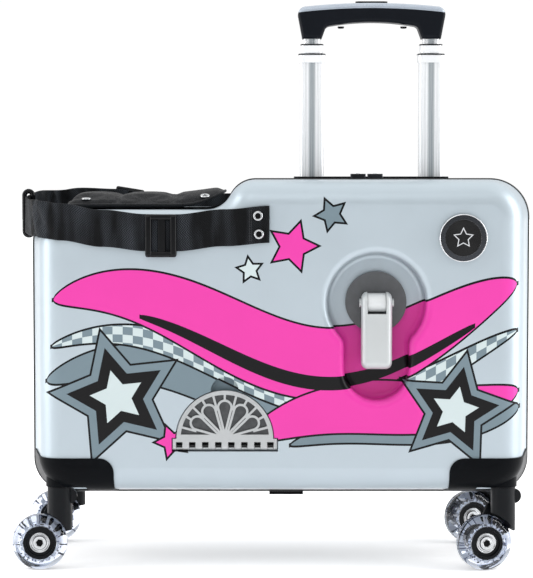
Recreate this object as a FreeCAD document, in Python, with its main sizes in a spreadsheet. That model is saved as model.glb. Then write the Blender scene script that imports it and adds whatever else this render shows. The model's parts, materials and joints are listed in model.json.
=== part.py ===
import FreeCAD, Part
import Sketcher
import math
import os
import re

# Ride-on suitcase: a hard two-shell cabin case with a saddle, fold-out handlebars and
# foot pedals, a telescopic trolley handle, a carrying belt and four swivel casters.
# Millimetres. X runs along the case (+X towards the nose), Y across it (the printed front
# face looks towards -Y) and Z up. The floor is Z = 0, below the middle of the case.

SIZES = {
    # case
    "case_length": 553,
    "case_depth": 216,
    "case_bottom": 73,
    "deck_top": 422.6,
    "seat_top": 390.4,
    "step_low_x": -65,
    "step_high_x": -45,
    "side_draft": 10,
    "corner_round": 38,
    "nose_round": 42,
    "step_round": 30,
    "edge_round": 26,
    "wall_thick": 3,
    "lining_thick": 1.2,
    "tape_proud": 1.4,
    "tape_width": 5,
    "guard_thick": 2,
    "guard_length": 96,
    "guard_top": 124,
    "guard_round": 16,
    "guard_depth": 80,
    # recess of the folding handlebar
    "bar_inset": 174.5,
    "bar_z": 291,
    "recess_radius": 53,
    "recess_half_width": 35,
    "recess_drop": 70,
    "recess_depth": 28,
    "recess_neck_round": 15,
    "recess_rim_round": 8,
    "recess_floor_round": 6,
    # handlebar
    "boss_radius": 33,
    "boss_thick": 5.5,
    "bar_width": 33,
    "bar_thick": 24,
    "bar_length": 71,
    "bar_clear": 1,
    "bar_round": 7,
    "knuckle_width": 19,
    "knuckle_radius": 10,
    "notch_gap": 1.5,
    "bar_end_round": 8,
    "knuckle_clear": 0.5,
    "bar_pin_radius": 3,
    "bar_pin_proud": 2,
    "pin_head_radius": 4.6,
    "running_fit": 0.05,
    # foot pedal
    "pedal_x": -61,
    "pedal_z": 145,
    "pedal_radius": 52,
    "pedal_strip_length": 112,
    "pedal_pivot_drop": 9,
    "pedal_plate_thick": 4,
    "pedal_fan_thick": 3,
    "pedal_gap": 1.2,
    "pedal_recess_depth": 10,
    "pedal_sunk": 1.5,
    "notch_radius": 15,
    "pedal_pin_radius": 1.5,
    "pedal_slot_count": 8,
    "pedal_slot_width": 7,
    "pedal_slot_clear": 0.5,
    "pedal_knuckle_radius": 3.2,
    "pedal_knuckle_room": 2.2,
    "pedal_base_thick": 1,
    "fan_rim_width": 4.5,
    "fan_rib_width": 2.4,
    "fan_petal_radius": 8.4,
    "fan_petal_reach": 34,
    "fan_hub_radius": 10,
    "fan_petal_count": 5,
    # trolley handle
    "handle_inset": 174.7,
    "handle_y": 28,
    "handle_spacing": 133.8,
    "stage_low_width": 26.7,
    "stage_low_thick": 20,
    "stage_low_wall": 1.6,
    "stage_low_length": 345,
    "stage_low_top": 563.4,
    "stage_mid_width": 22,
    "stage_mid_thick": 15.4,
    "stage_mid_wall": 1.2,
    "stage_mid_length": 346,
    "stage_mid_top": 574.2,
    "stage_top_width": 19,
    "stage_top_thick": 12.4,
    "stage_top_length": 344,
    "tube_round": 4,
    "collar_height": 10,
    "collar_wall": 1.3,
    "collar_lip": 2,
    "sliding_gap": 0.3,
    "housing_wall": 2,
    "housing_bottom": 92,
    "housing_round": 5,
    "bezel_length": 174,
    "bezel_depth": 34,
    "bezel_thick": 3,
    "bezel_round": 10,
    "grip_length": 168.5,
    "grip_thick": 26,
    "grip_leg_bottom": 580,
    "grip_leg_width": 21.6,
    "grip_under": 598.5,
    "grip_shoulder_round": 9,
    "grip_top": 615,
    "grip_arch": 5,
    "grip_rise": 5,
    "grip_round": 4,
    "grip_inner_round": 6,
    "grip_socket_depth": 14,
    "cap_thick": 6,
    "button_length": 36,
    "button_depth": 12,
    "button_height": 8,
    "button_proud": 2,
    "button_travel": 2.5,
    # casters
    "stem_inset": 35.5,
    "stem_y": 84,
    "stem_radius": 4,
    "stem_length": 18,
    "socket_radius": 14.75,
    "socket_bottom": 91,
    "socket_top": 116,
    "well_radius": 33,
    "fork_gap": 0.5,
    "fork_radius": 13.25,
    "fork_skirt": 43,
    "fork_arm_top": 70,
    "fork_arm_thick": 5,
    "hood_gap": 2.5,
    "axle_boss_radius": 9,
    "nub_radius": 8,
    "nub_reach": 19,
    "nub_drop": 11,
    "nub_width": 10,
    "wheel_radius": 30,
    "wheel_width": 22,
    "hub_width": 20,
    "wheel_trail": 21.6,
    "wheel_gap": 0.6,
    "hub_radius": 18,
    "tyre_round": 8,
    "hub_dish": 3,
    "hub_face_radius": 15,
    "axle_radius": 4,
    "axle_head_radius": 7,
    "axle_head_thick": 3,
    "axle_washer_radius": 6,
    "axle_key_radius": 3.6,
    "yaw_front_left": 3,
    "yaw_front_right": 13,
    "yaw_rear_left": 5,
    "yaw_rear_right": 18,
    # belt
    "belt_width": 40,
    "belt_thick": 2,
    "belt_gap": 2.6,
    "belt_front_z": 376,
    "belt_rear_z": 384.5,
    "belt_end_x": -13,
    "belt_corner_round": 34,
    "belt_stand_off": 7.5,
    "belt_parting_gap": 17,
    "rivet_inset": 8,
    "rivet_spacing": 22.5,
    "rivet_radius": 5.7,
    "rivet_head": 1.6,
    "rivet_shank_radius": 2.5,
    "slide_buckle_x": -128,
    "slide_buckle_rear_x": -176,
    "slide_buckle_length": 33,
    "slide_buckle_height": 46,
    "slide_buckle_rail": 2.2,
    "slide_buckle_bar": 6,
    "ring_bar_radius": 2.75,
    "ring_bar_space": 4.6,
    "ring_height": 55,
    "ring_z": 384.5,
    "ring_y": 9,
    "soft_gap": 0.3,
    # seat cushion
    "cushion_left_x": -233,
    "cushion_right_x": -63,
    "cushion_depth": 150,
    "cushion_sections": 3,
    "cushion_thick": 15,
    "cushion_channel": 4,
    "cushion_crown": 8,
    "cushion_side_draw": 9,
    "cushion_corner_round": 25,
    "cushion_rise": 15.5,
    "cushion_top_rise": 9,
    "cushion_clear": 0.5,
    "seat_rivet_radius": 5,
    "seat_rivet_inset_x": 20,
    "seat_rivet_inset_y": 14,
    "seat_rivet_thick": 2,
    "seat_rivet_height": 10.5,
    "seat_rivet_lift": 1.5,
    # badge, zip sliders and tape end cover
    "badge_inset": 82.5,
    "badge_z": 361,
    "badge_radius": 25.5,
    "badge_disc_radius": 19.5,
    "badge_thick": 3.5,
    "badge_disc_thick": 2,
    "zip_inset": 181,
    "zip_length": 17,
    "zip_space": 2,
    "zip_width": 9,
    "zip_height": 4.5,
    "zip_round": 1.5,
    "cover_x": 6,
    "cover_length": 38,
    "cover_width": 16,
    "cover_thick": 3.4,
}

doc = FreeCAD.newDocument("RideOnSuitcase")
sheet = doc.addObject("Spreadsheet::Sheet", "Sizes")
for row, (alias, amount) in enumerate(SIZES.items(), start=1):
    sheet.set(f"A{row}", alias)
    sheet.set(f"B{row}", str(amount))
    sheet.setAlias(f"B{row}", alias)
doc.recompute()

NODES = {}


def formula(text):
    """The text with each sheet alias, a word with an underscore, named in full."""
    return re.sub(r"[a-z]+(?:_[a-z]+)+", r"Sizes.\g<0>", str(text))


def size(text):
    """The value of a formula now, in millimetres or degrees."""
    result = sheet.evalExpression(formula(text))
    return float(getattr(result, "Value", result))


def bind(thing, **formulas):
    for name, text in formulas.items():
        thing.setExpression(name, formula(text))
    return thing


TURNS = {
    "Z": FreeCAD.Rotation(),
    "Y": FreeCAD.Rotation(FreeCAD.Vector(1, 0, 0), -90),
    "-Y": FreeCAD.Rotation(FreeCAD.Vector(1, 0, 0), 90),
    "X": FreeCAD.Rotation(FreeCAD.Vector(0, 1, 0), 90),
}


def place(thing, x, y, z, along="Z"):
    thing.Placement = FreeCAD.Placement(FreeCAD.Vector(), TURNS[along])
    for name, text in zip("xyz", (x, y, z)):
        thing.setExpression(f"Placement.Base.{name}", formula(text))
    return thing


def box(name, x, y, z, length, width, height):
    """A block whose lowest corner is at x, y, z."""
    block = doc.addObject("Part::Box", name)
    bind(block, Length=length, Width=width, Height=height)
    return place(block, x, y, z)


def cylinder(name, radius, height, x, y, z, along="Z"):
    rod = doc.addObject("Part::Cylinder", name)
    bind(rod, Radius=radius, Height=height)
    return place(rod, x, y, z, along)


def fuse(name, *shapes):
    joined = doc.addObject("Part::MultiFuse", name)
    joined.Shapes = list(shapes)
    joined.Refine = True
    return joined


def cut(name, base, *tools):
    result = doc.addObject("Part::Cut", name)
    result.Base = base
    result.Tool = tools[0] if len(tools) == 1 else fuse(f"{name}_tools", *tools)
    return result


def common(name, first, second):
    result = doc.addObject("Part::Common", name)
    result.Base = first
    result.Tool = second
    return result


def mirror(name, source, normal=(0, 1, 0)):
    image = doc.addObject("Part::Mirroring", name)
    image.Source = source
    image.Normal = FreeCAD.Vector(*normal)
    return image


def group(name, *shapes):
    together = doc.addObject("Part::Compound", name)
    together.Links = list(shapes)
    return together


def node(name, thing):
    """Marks an object as a sub-part, under the name of its file."""
    thing.Label = name
    NODES[name] = thing
    return thing


def new_body(name):
    return doc.addObject("PartDesign::Body", name)


def new_sketch(body, name, role, offset="0"):
    """A sketch on one of the body's own planes, moved along the plane's normal."""
    sketch = body.newObject("Sketcher::SketchObject", name)
    plane = [item for item in body.Origin.OriginFeatures if item.Role == role][0]
    sketch.AttachmentSupport = [(plane, "")]
    sketch.MapMode = "FlatFace"
    sketch.setExpression("AttachmentOffset.Base.z", formula(offset))
    return sketch


def add_constraint(sketch, text, *parts):
    index = sketch.addConstraint(Sketcher.Constraint(*parts, size(text)))
    sketch.setExpression(f"Constraints[{index}]", formula(text))


def draw_outline(sketch, points, arcs=None):
    """A closed outline through points given as formulas. arcs maps the number of a side to
    its radius and to the way it turns: left, right or, past a half circle, far left."""
    arcs = arcs or {}
    corners = [FreeCAD.Vector(size(across), size(up), 0) for across, up in points]
    ends = []
    for side, start in enumerate(corners):
        stop = corners[(side + 1) % len(corners)]
        if side not in arcs:
            sketch.addGeometry(Part.LineSegment(start, stop))
            ends.append((1, 2))
            continue
        radius, turn = arcs[side]
        left = turn != "right"
        first, last = (start, stop) if left else (stop, start)
        chord = last - first
        rise = math.sqrt(max(size(radius) ** 2 - chord.Length ** 2 / 4, 0))
        if turn == "far left":
            rise = -rise
        middle = (first + last) / 2
        centre = middle + FreeCAD.Vector(-chord.y, chord.x, 0).normalize() * rise
        turns = [math.atan2(p.y - centre.y, p.x - centre.x) for p in (first, last)]
        circle = Part.Circle(centre, FreeCAD.Vector(0, 0, 1), size(radius))
        sketch.addGeometry(Part.ArcOfCircle(circle, turns[0], turns[1]))
        ends.append((1, 2) if left else (2, 1))
    for side, (across, up) in enumerate(points):
        following = (side + 1) % len(points)
        sketch.addConstraint(Sketcher.Constraint(
            "Coincident", side, ends[side][1], following, ends[following][0]))
    for side, (across, up) in enumerate(points):
        add_constraint(sketch, across, "DistanceX", side, ends[side][0])
        add_constraint(sketch, up, "DistanceY", side, ends[side][0])
    for side, (radius, turn) in arcs.items():
        add_constraint(sketch, radius, "Radius", side)


def draw_circle(sketch, across, up, radius):
    centre = FreeCAD.Vector(size(across), size(up), 0)
    index = sketch.addGeometry(Part.Circle(centre, FreeCAD.Vector(0, 0, 1), size(radius)))
    add_constraint(sketch, across, "DistanceX", index, 3)
    add_constraint(sketch, up, "DistanceY", index, 3)
    add_constraint(sketch, radius, "Radius", index)


def pad(body, sketch, length, backwards=False):
    feature = body.newObject("PartDesign::Pad", f"{sketch.Name}_pad")
    feature.Profile = sketch
    feature.Reversed = backwards
    bind(feature, Length=length)
    doc.recompute()
    return feature


def pocket(body, sketch, depth, backwards=False):
    before = body.Tip.Shape.Volume
    feature = body.newObject("PartDesign::Pocket", f"{sketch.Name}_pocket")
    feature.Profile = sketch
    feature.Reversed = backwards
    bind(feature, Length=depth)
    doc.recompute()
    if feature.Shape.Volume >= before:
        raise RuntimeError(f"{feature.Name} cuts nothing")
    return feature


def round_edges(body, name, wanted, radius):
    """A fillet on the edges of the body's last feature that the test accepts."""
    base = body.Tip
    edges = [f"Edge{i}" for i, edge in enumerate(base.Shape.Edges, start=1) if wanted(edge)]
    if not edges:
        raise RuntimeError(f"{name} finds no edge")
    feature = body.newObject("PartDesign::Fillet", name)
    feature.Base = (base, edges)
    bind(feature, Radius=radius)
    doc.recompute()
    return feature


NEAR = 1e-3


def joins(first, last):
    """A test for the straight edge between two points."""
    def wanted(edge):
        found = [vertex.Point for vertex in edge.Vertexes]
        if len(found) != 2:
            return False
        there = max((found[0] - first).Length, (found[1] - last).Length)
        back = max((found[0] - last).Length, (found[1] - first).Length)
        return min(there, back) < NEAR
    return wanted


def within(low, high):
    """A test for edges that lie wholly inside a box."""
    def wanted(edge):
        bounds = edge.BoundBox
        lowest = (bounds.XMin, bounds.YMin, bounds.ZMin)
        highest = (bounds.XMax, bounds.YMax, bounds.ZMax)
        return (all(a >= b - NEAR * 10 for a, b in zip(lowest, low))
                and all(a <= b + NEAR * 10 for a, b in zip(highest, high)))
    return wanted


HALF_LENGTH = "case_length / 2"
HALF_DEPTH = "case_depth / 2"
STEP_LEAN = "tan(atan((deck_top - seat_top) / (step_high_x - step_low_x)) / 2)"
# The nose carries the badge, bars, trolley handle and zip along with it, and each caster keeps its corner.
BADGE_X = f"({HALF_LENGTH} - badge_inset)"
BAR_X = f"({HALF_LENGTH} - bar_inset)"
HANDLE_X = f"({HALF_LENGTH} - handle_inset)"
ZIP_X = f"({HALF_LENGTH} - zip_inset)"
STEM_X = f"({HALF_LENGTH} - stem_inset)"


def case_outline(inset, lean_in):
    """The six corners of the case seen from the front, drawn in by inset and, at the ends
    and the bottom only, by lean_in as well."""
    side = f"({HALF_LENGTH} - {inset} - {lean_in})"
    floor = f"case_bottom + {inset} + {lean_in}"
    return [
        (f"-{side}", floor),
        (side, floor),
        (side, f"deck_top - {inset}"),
        (f"step_high_x + {inset} * {STEP_LEAN}", f"deck_top - {inset}"),
        (f"step_low_x + {inset} * {STEP_LEAN}", f"seat_top - {inset}"),
        (f"-{side}", f"seat_top - {inset}"),
    ]


def half_case(name, inset, with_recesses):
    """The front half of the case as a block, its whole surface drawn in by inset."""
    inset = f"({inset})"
    reach = f"({HALF_DEPTH} - {inset})"
    body = new_body(name)
    back = new_sketch(body, f"{name}_parting", "XZ_Plane")
    parting = case_outline(inset, "0")
    draw_outline(back, parting)
    front = new_sketch(body, f"{name}_face", "XZ_Plane", reach)
    face = case_outline(inset, f"{reach} * tan(side_draft)")
    draw_outline(front, face)
    loft = body.newObject("PartDesign::AdditiveLoft", f"{name}_loft")
    loft.Profile = back
    loft.Sections = [front]
    loft.Ruled = True
    doc.recompute()
    face_y = -size(reach)

    def corner(number):
        near = FreeCAD.Vector(size(parting[number][0]), 0, size(parting[number][1]))
        far = FreeCAD.Vector(size(face[number][0]), face_y, size(face[number][1]))
        return joins(near, far)

    corners = [corner(number) for number in (0, 1, 5)]
    round_edges(body, f"{name}_corners", lambda edge: any(test(edge) for test in corners),
                f"corner_round - {inset}")
    round_edges(body, f"{name}_nose", corner(2), f"nose_round - {inset}")
    round_edges(body, f"{name}_step_high", corner(3), f"step_round - {inset}")
    round_edges(body, f"{name}_step_low", corner(4), f"step_round + {inset}")
    far = size("case_length")
    round_edges(body, f"{name}_rim", within((-far, face_y, 0), (far, face_y, far)),
                f"edge_round - {inset}")
    if with_recesses:
        cut_bar_recess(body, name, inset, reach)
        cut_pedal_recess(body, name, inset, reach)
    return body


def cut_bar_recess(body, name, inset, reach):
    """A keyhole hollow: a round bowl for the boss and a channel below it for the bar."""
    wide = f"(recess_half_width + {inset})"
    bowl = f"(recess_radius + {inset})"
    neck = f"bar_z - sqrt({bowl} ^ 2 - {wide} ^ 2)"
    foot = "bar_z - recess_drop"
    sketch = new_sketch(body, f"{name}_bar", "XZ_Plane", reach)
    points = [
        (f"{BAR_X} + {wide}", neck),
        (f"{BAR_X} - {wide}", neck),
        (f"{BAR_X} - {wide}", foot),
        (BAR_X, f"{foot} - {wide}"),
        (f"{BAR_X} + {wide}", foot),
    ]
    middle = FreeCAD.Vector(size(BAR_X), size("bar_z"), 0)
    draw_outline(sketch, points,
                 {0: (bowl, "far left"), 2: (wide, "left"), 3: (wide, "left")})
    pocket(body, sketch, "recess_depth")
    face_y = -size(reach)
    floor_y = face_y + size("recess_depth")
    necks = [joins(FreeCAD.Vector(size(across), face_y, size(up)),
                   FreeCAD.Vector(size(across), floor_y, size(up))) for across, up in points[:2]]
    round_edges(body, f"{name}_bar_neck", lambda edge: any(test(edge) for test in necks),
                f"recess_neck_round - {inset}")
    span = size(bowl) + 1
    lowest = size(foot) - span
    left, right = middle.x - span, middle.x + span
    top = middle.y + span
    round_edges(body, f"{name}_bar_rim", within((left, face_y, lowest), (right, face_y, top)),
                f"recess_rim_round - {inset}")
    round_edges(body, f"{name}_bar_floor", within((left, floor_y, lowest), (right, floor_y, top)),
                f"recess_floor_round + {inset}")


PEDAL_PIVOT_Z = "(pedal_z - pedal_pivot_drop)"
PEDAL_THICK = "(pedal_plate_thick + pedal_fan_thick)"


def cut_pedal_recess(body, name, inset, reach):
    """A shallow hollow in the outline of the folded pedal, with a finger notch on top."""
    gap = f"(pedal_gap + {inset})"
    rim = f"(pedal_radius + {gap})"
    half = f"(pedal_strip_length / 2 + {gap})"
    low = f"{PEDAL_PIVOT_Z} - {PEDAL_THICK} / 2 - {gap}"
    high = f"pedal_z + {gap}"
    strip = new_sketch(body, f"{name}_strip", "XZ_Plane", reach)
    draw_outline(strip, [(f"pedal_x - {half}", low), (f"pedal_x + {half}", low),
                         (f"pedal_x + {half}", high), (f"pedal_x - {half}", high)])
    pocket(body, strip, "pedal_recess_depth")
    fan = new_sketch(body, f"{name}_fan", "XZ_Plane", reach)
    draw_outline(fan, [(f"pedal_x + {rim}", "pedal_z"), ("pedal_x", f"pedal_z + {rim}"),
                       (f"pedal_x - {rim}", "pedal_z")],
                 {0: (rim, "left"), 1: (rim, "left")})
    pocket(body, fan, "pedal_recess_depth")
    notch = new_sketch(body, f"{name}_notch", "XZ_Plane", reach)
    draw_circle(notch, "pedal_x", "pedal_z + pedal_radius", f"notch_radius + {inset}")
    pocket(body, notch, "pedal_recess_depth")


def rounded_bar(name, x, y, bottom, width, thick, height, rounding):
    """An upright bar with rounded upright edges, its middle at x, y."""
    body = new_body(name)
    sketch = new_sketch(body, f"{name}_section", "XY_Plane", bottom)
    left, right = f"{x} - ({width}) / 2", f"{x} + ({width}) / 2"
    near, far = f"{y} - ({thick}) / 2", f"{y} + ({thick}) / 2"
    draw_outline(sketch, [(left, near), (right, near), (right, far), (left, far)])
    pad(body, sketch, height)
    low = size(bottom)
    high = low + size(height)

    def upright(edge):
        heights = sorted(vertex.Z for vertex in edge.Vertexes)
        return abs(heights[0] - low) < NEAR and abs(heights[-1] - high) < NEAR

    round_edges(body, f"{name}_rounding", upright, rounding)
    return body


STAGE_X = {
    "left": f"({HANDLE_X} - handle_spacing / 2)",
    "right": f"({HANDLE_X} + handle_spacing / 2)",
}
FACE_Y = f"(-{HALF_DEPTH})"


def caster_room(name, extra):
    """The room of both front casters: a turning well and, above it, the socket's hole."""
    extra = f"({extra})"
    rooms = []
    for side, x in (("left", f"-{STEM_X}"), ("right", STEM_X)):
        rooms.append(cylinder(f"{name}_{side}_well", f"well_radius + {extra}",
                              f"socket_bottom + {extra}", x, "-stem_y", "0"))
        rooms.append(cylinder(f"{name}_{side}_hole", f"socket_radius + {extra}",
                              f"socket_top + {extra}", x, "-stem_y", "0"))
    return fuse(name, *rooms)


def both_stages(name, bottom, height, width, thick, rounding):
    """A left and a right bar of the trolley handle."""
    return [rounded_bar(f"{name}_{side}", x, "handle_y", bottom, width, thick, height, rounding)
            for side, x in STAGE_X.items()]


HOUSING_WIDTH = "(stage_low_width + 2 * (sliding_gap + housing_wall))"
HOUSING_THICK = "(stage_low_thick + 2 * (sliding_gap + housing_wall))"
PASSAGE_WIDTH = "(stage_low_width + 2 * sliding_gap)"
PASSAGE_THICK = "(stage_low_thick + 2 * sliding_gap)"
DECK_UNDER = "(deck_top - wall_thick)"


def build_shells():
    outer = half_case("case_outer", "0", True)
    cavity = half_case("case_cavity", "wall_thick", True)
    inner = half_case("case_inner", "wall_thick + lining_thick", True)
    block = cut("case_block", outer, caster_room("room_outer", "0"))
    hollow = cut("case_hollow", cavity, caster_room("room_cavity", "wall_thick"))
    space = cut("case_space", inner, caster_room("room_inner", "wall_thick + lining_thick"))
    shell = node("front_shell", cut("front_shell", block, hollow))
    lining = node("front_lining", cut("front_lining", hollow, space))
    passages = both_stages("deck_hole", f"{DECK_UNDER} - wall_thick", "3 * wall_thick",
                           PASSAGE_WIDTH, PASSAGE_THICK, "tube_round + sliding_gap")
    node("rear_shell", cut("rear_shell", mirror("rear_shell_plain", shell), *passages))
    housings = both_stages("lining_hole", f"{DECK_UNDER} - 2 * edge_round", "2 * edge_round",
                           f"{HOUSING_WIDTH} + 2 * soft_gap", f"{HOUSING_THICK} + 2 * soft_gap",
                           "housing_round + soft_gap")
    node("rear_lining", cut("rear_lining", mirror("rear_lining_plain", lining), *housings))
    return outer


def build_tape(outer):
    """The zip's tape, one half on each shell, standing proud along the parting."""
    raised = cut("tape_skin", half_case("tape_outer", "-tape_proud", False), outer)
    strip = box("tape_reach", "-case_length", "-tape_width", "0",
                "2 * case_length", "tape_width", "2 * deck_top")
    front = node("front_tape", common("front_tape", raised, strip))
    node("rear_tape", mirror("rear_tape", front))
    top = "deck_top + tape_proud + soft_gap"
    for side, x in (("left", f"{ZIP_X} - (zip_length + zip_space) / 2"),
                    ("right", f"{ZIP_X} + (zip_length + zip_space) / 2")):
        name = f"zip_slider_{side}"
        node(name, rounded_bar(name, x, "0", top, "zip_length", "zip_width", "zip_height",
                               "zip_round"))
    node("tape_end_cover", box("tape_end_cover", "cover_x - cover_length / 2", "soft_gap",
                               "case_bottom - tape_proud - soft_gap - cover_thick",
                               "cover_length", "cover_width / 2", "cover_thick"))


def build_guards(outer):
    """Black corner shoes at the bottom, each with the socket of a caster's stem."""
    raised = cut("guard_skin", half_case("guard_outer", "-guard_thick", False), outer)
    region = new_body("guard_region")
    sketch = new_sketch(region, "guard_region_face", "XZ_Plane", f"{HALF_DEPTH} - guard_depth")
    inner_end = f"-({HALF_LENGTH} - guard_length)"
    far_end = f"-({HALF_LENGTH} + guard_length)"
    draw_outline(sketch, [(far_end, "0"), (inner_end, "0"), (inner_end, "guard_top"),
                          (far_end, "guard_top")])
    pad(region, sketch, "guard_depth + guard_length")
    corner = [FreeCAD.Vector(size(inner_end), y, size("guard_top")) for y in
              (-size(f"{HALF_DEPTH} - guard_depth"), -size(f"{HALF_DEPTH} + guard_length"))]
    round_edges(region, "guard_region_round", joins(*corner), "guard_round")
    plate = common("guard_plate", raised, region)
    well = cylinder("guard_well", "well_radius", "socket_bottom", f"-{STEM_X}", "-stem_y", "0")
    socket = cylinder("guard_socket", "socket_radius", "socket_top - socket_bottom",
                      f"-{STEM_X}", "-stem_y", "socket_bottom")
    bore = cylinder("guard_bore", "stem_radius + running_fit",
                    "socket_bottom + stem_length + fork_gap", f"-{STEM_X}", "-stem_y", "0")
    left = cut("guard_left", fuse("guard_whole", cut("guard_open", plate, well), socket), bore)
    right = mirror("guard_right", left, (1, 0, 0))
    front = node("front_corner_guards", group("front_corner_guards", left, right))
    node("rear_corner_guards", mirror("rear_corner_guards", front))


BAR_Y = f"({FACE_Y} + recess_depth - boss_thick - bar_clear - bar_thick / 2)"


def build_bars():
    """The folding handlebars: a boss in the recess, a pivot pin and the bar on it."""
    floor = f"{FACE_Y} + recess_depth"
    rod_start = f"{BAR_X} - bar_width / 2 - bar_pin_proud"
    rod_length = "bar_width + 2 * bar_pin_proud"
    rod = cylinder("bar_pin_rod", "bar_pin_radius", rod_length, rod_start, BAR_Y, "bar_z", "X")
    head_thick = "bar_pin_proud - running_fit"
    heads = [cylinder(f"bar_pin_head_{side}", "pin_head_radius", head_thick, x, BAR_Y, "bar_z", "X")
             for side, x in (("left", rod_start),
                             ("right", f"{BAR_X} + bar_width / 2 + running_fit"))]
    pin = fuse("front_bar_pin", rod, *heads)
    boss = cylinder("bar_boss", "boss_radius", "boss_thick", BAR_X, floor, "bar_z", "-Y")
    knuckle = box("bar_knuckle", f"{BAR_X} - knuckle_width / 2", BAR_Y, "bar_z - knuckle_radius",
                  "knuckle_width", f"{floor} - boss_thick - {BAR_Y}", "2 * knuckle_radius")
    barrel = cylinder("bar_barrel", "knuckle_radius", "knuckle_width",
                      f"{BAR_X} - knuckle_width / 2", BAR_Y, "bar_z", "X")
    base = cut("front_bar_base", fuse("bar_base_whole", boss, knuckle, barrel), rod)
    bar = cut("front_bar", bar_block(), cylinder(
        "bar_pin_hole", "bar_pin_radius + running_fit", rod_length, rod_start, BAR_Y, "bar_z", "X"))
    for name, thing in (("bar_base", base), ("bar", bar)):
        node(f"front_{name}", thing)
        node(f"rear_{name}", mirror(f"rear_{name}", thing))
    return pin


def bar_block():
    """One bar, folded down: round at the pivot, notched there for the knuckle."""
    half = "bar_thick / 2"
    end = "bar_z - bar_length"
    body = new_body("bar_block")
    sketch = new_sketch(body, "bar_side", "YZ_Plane", f"{BAR_X} - bar_width / 2")
    draw_outline(sketch, [
        (f"{BAR_Y} + {half}", "bar_z"),
        (BAR_Y, f"bar_z + {half}"),
        (f"{BAR_Y} - {half}", "bar_z"),
        (f"{BAR_Y} - {half}", end),
        (f"{BAR_Y} + {half}", end),
    ], {0: (half, "left"), 1: (half, "left")})
    pad(body, sketch, "bar_width")
    left = size(f"{BAR_X} - bar_width / 2")
    right = left + size("bar_width")
    near, far = size(f"{BAR_Y} - {half}"), size(f"{BAR_Y} + {half}")
    low, high = size(end), size(f"bar_z + {half}")
    round_edges(body, "bar_end", lambda edge: within((left, near, low), (right, far, low))(edge)
                and edge.BoundBox.XLength > NEAR, "bar_end_round")
    faces = [within((x, near, low), (x, far, high)) for x in (left, right)]
    round_edges(body, "bar_sides", lambda edge: any(test(edge) for test in faces), "bar_round")
    notch = new_sketch(body, "bar_notch", "XZ_Plane", f"-{BAR_Y} + bar_thick")
    room = "(knuckle_width / 2 + knuckle_clear)"
    foot = "bar_z - knuckle_radius - notch_gap"
    draw_outline(notch, [(f"{BAR_X} - {room}", foot), (f"{BAR_X} + {room}", foot),
                         (f"{BAR_X} + {room}", "bar_z + bar_thick"),
                         (f"{BAR_X} - {room}", "bar_z + bar_thick")])
    pocket(body, notch, "2 * bar_thick")
    return body


PEDAL_FRONT_Y = f"({FACE_Y} + pedal_sunk)"
PEDAL_PLATE_Y = f"({PEDAL_FRONT_Y} + pedal_fan_thick)"
PEDAL_BACK_Y = f"({PEDAL_PLATE_Y} + pedal_plate_thick)"
PEDAL_AXIS_Y = f"({PEDAL_FRONT_Y} + {PEDAL_THICK} / 2)"


def slot_places():
    """The middles of the hinge slots along the pedal's strip."""
    count = int(size("pedal_slot_count"))
    return [f"(pedal_x + pedal_strip_length * ({place} + 0.5 - {count} / 2) / {count})"
            for place in range(count)]


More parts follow.
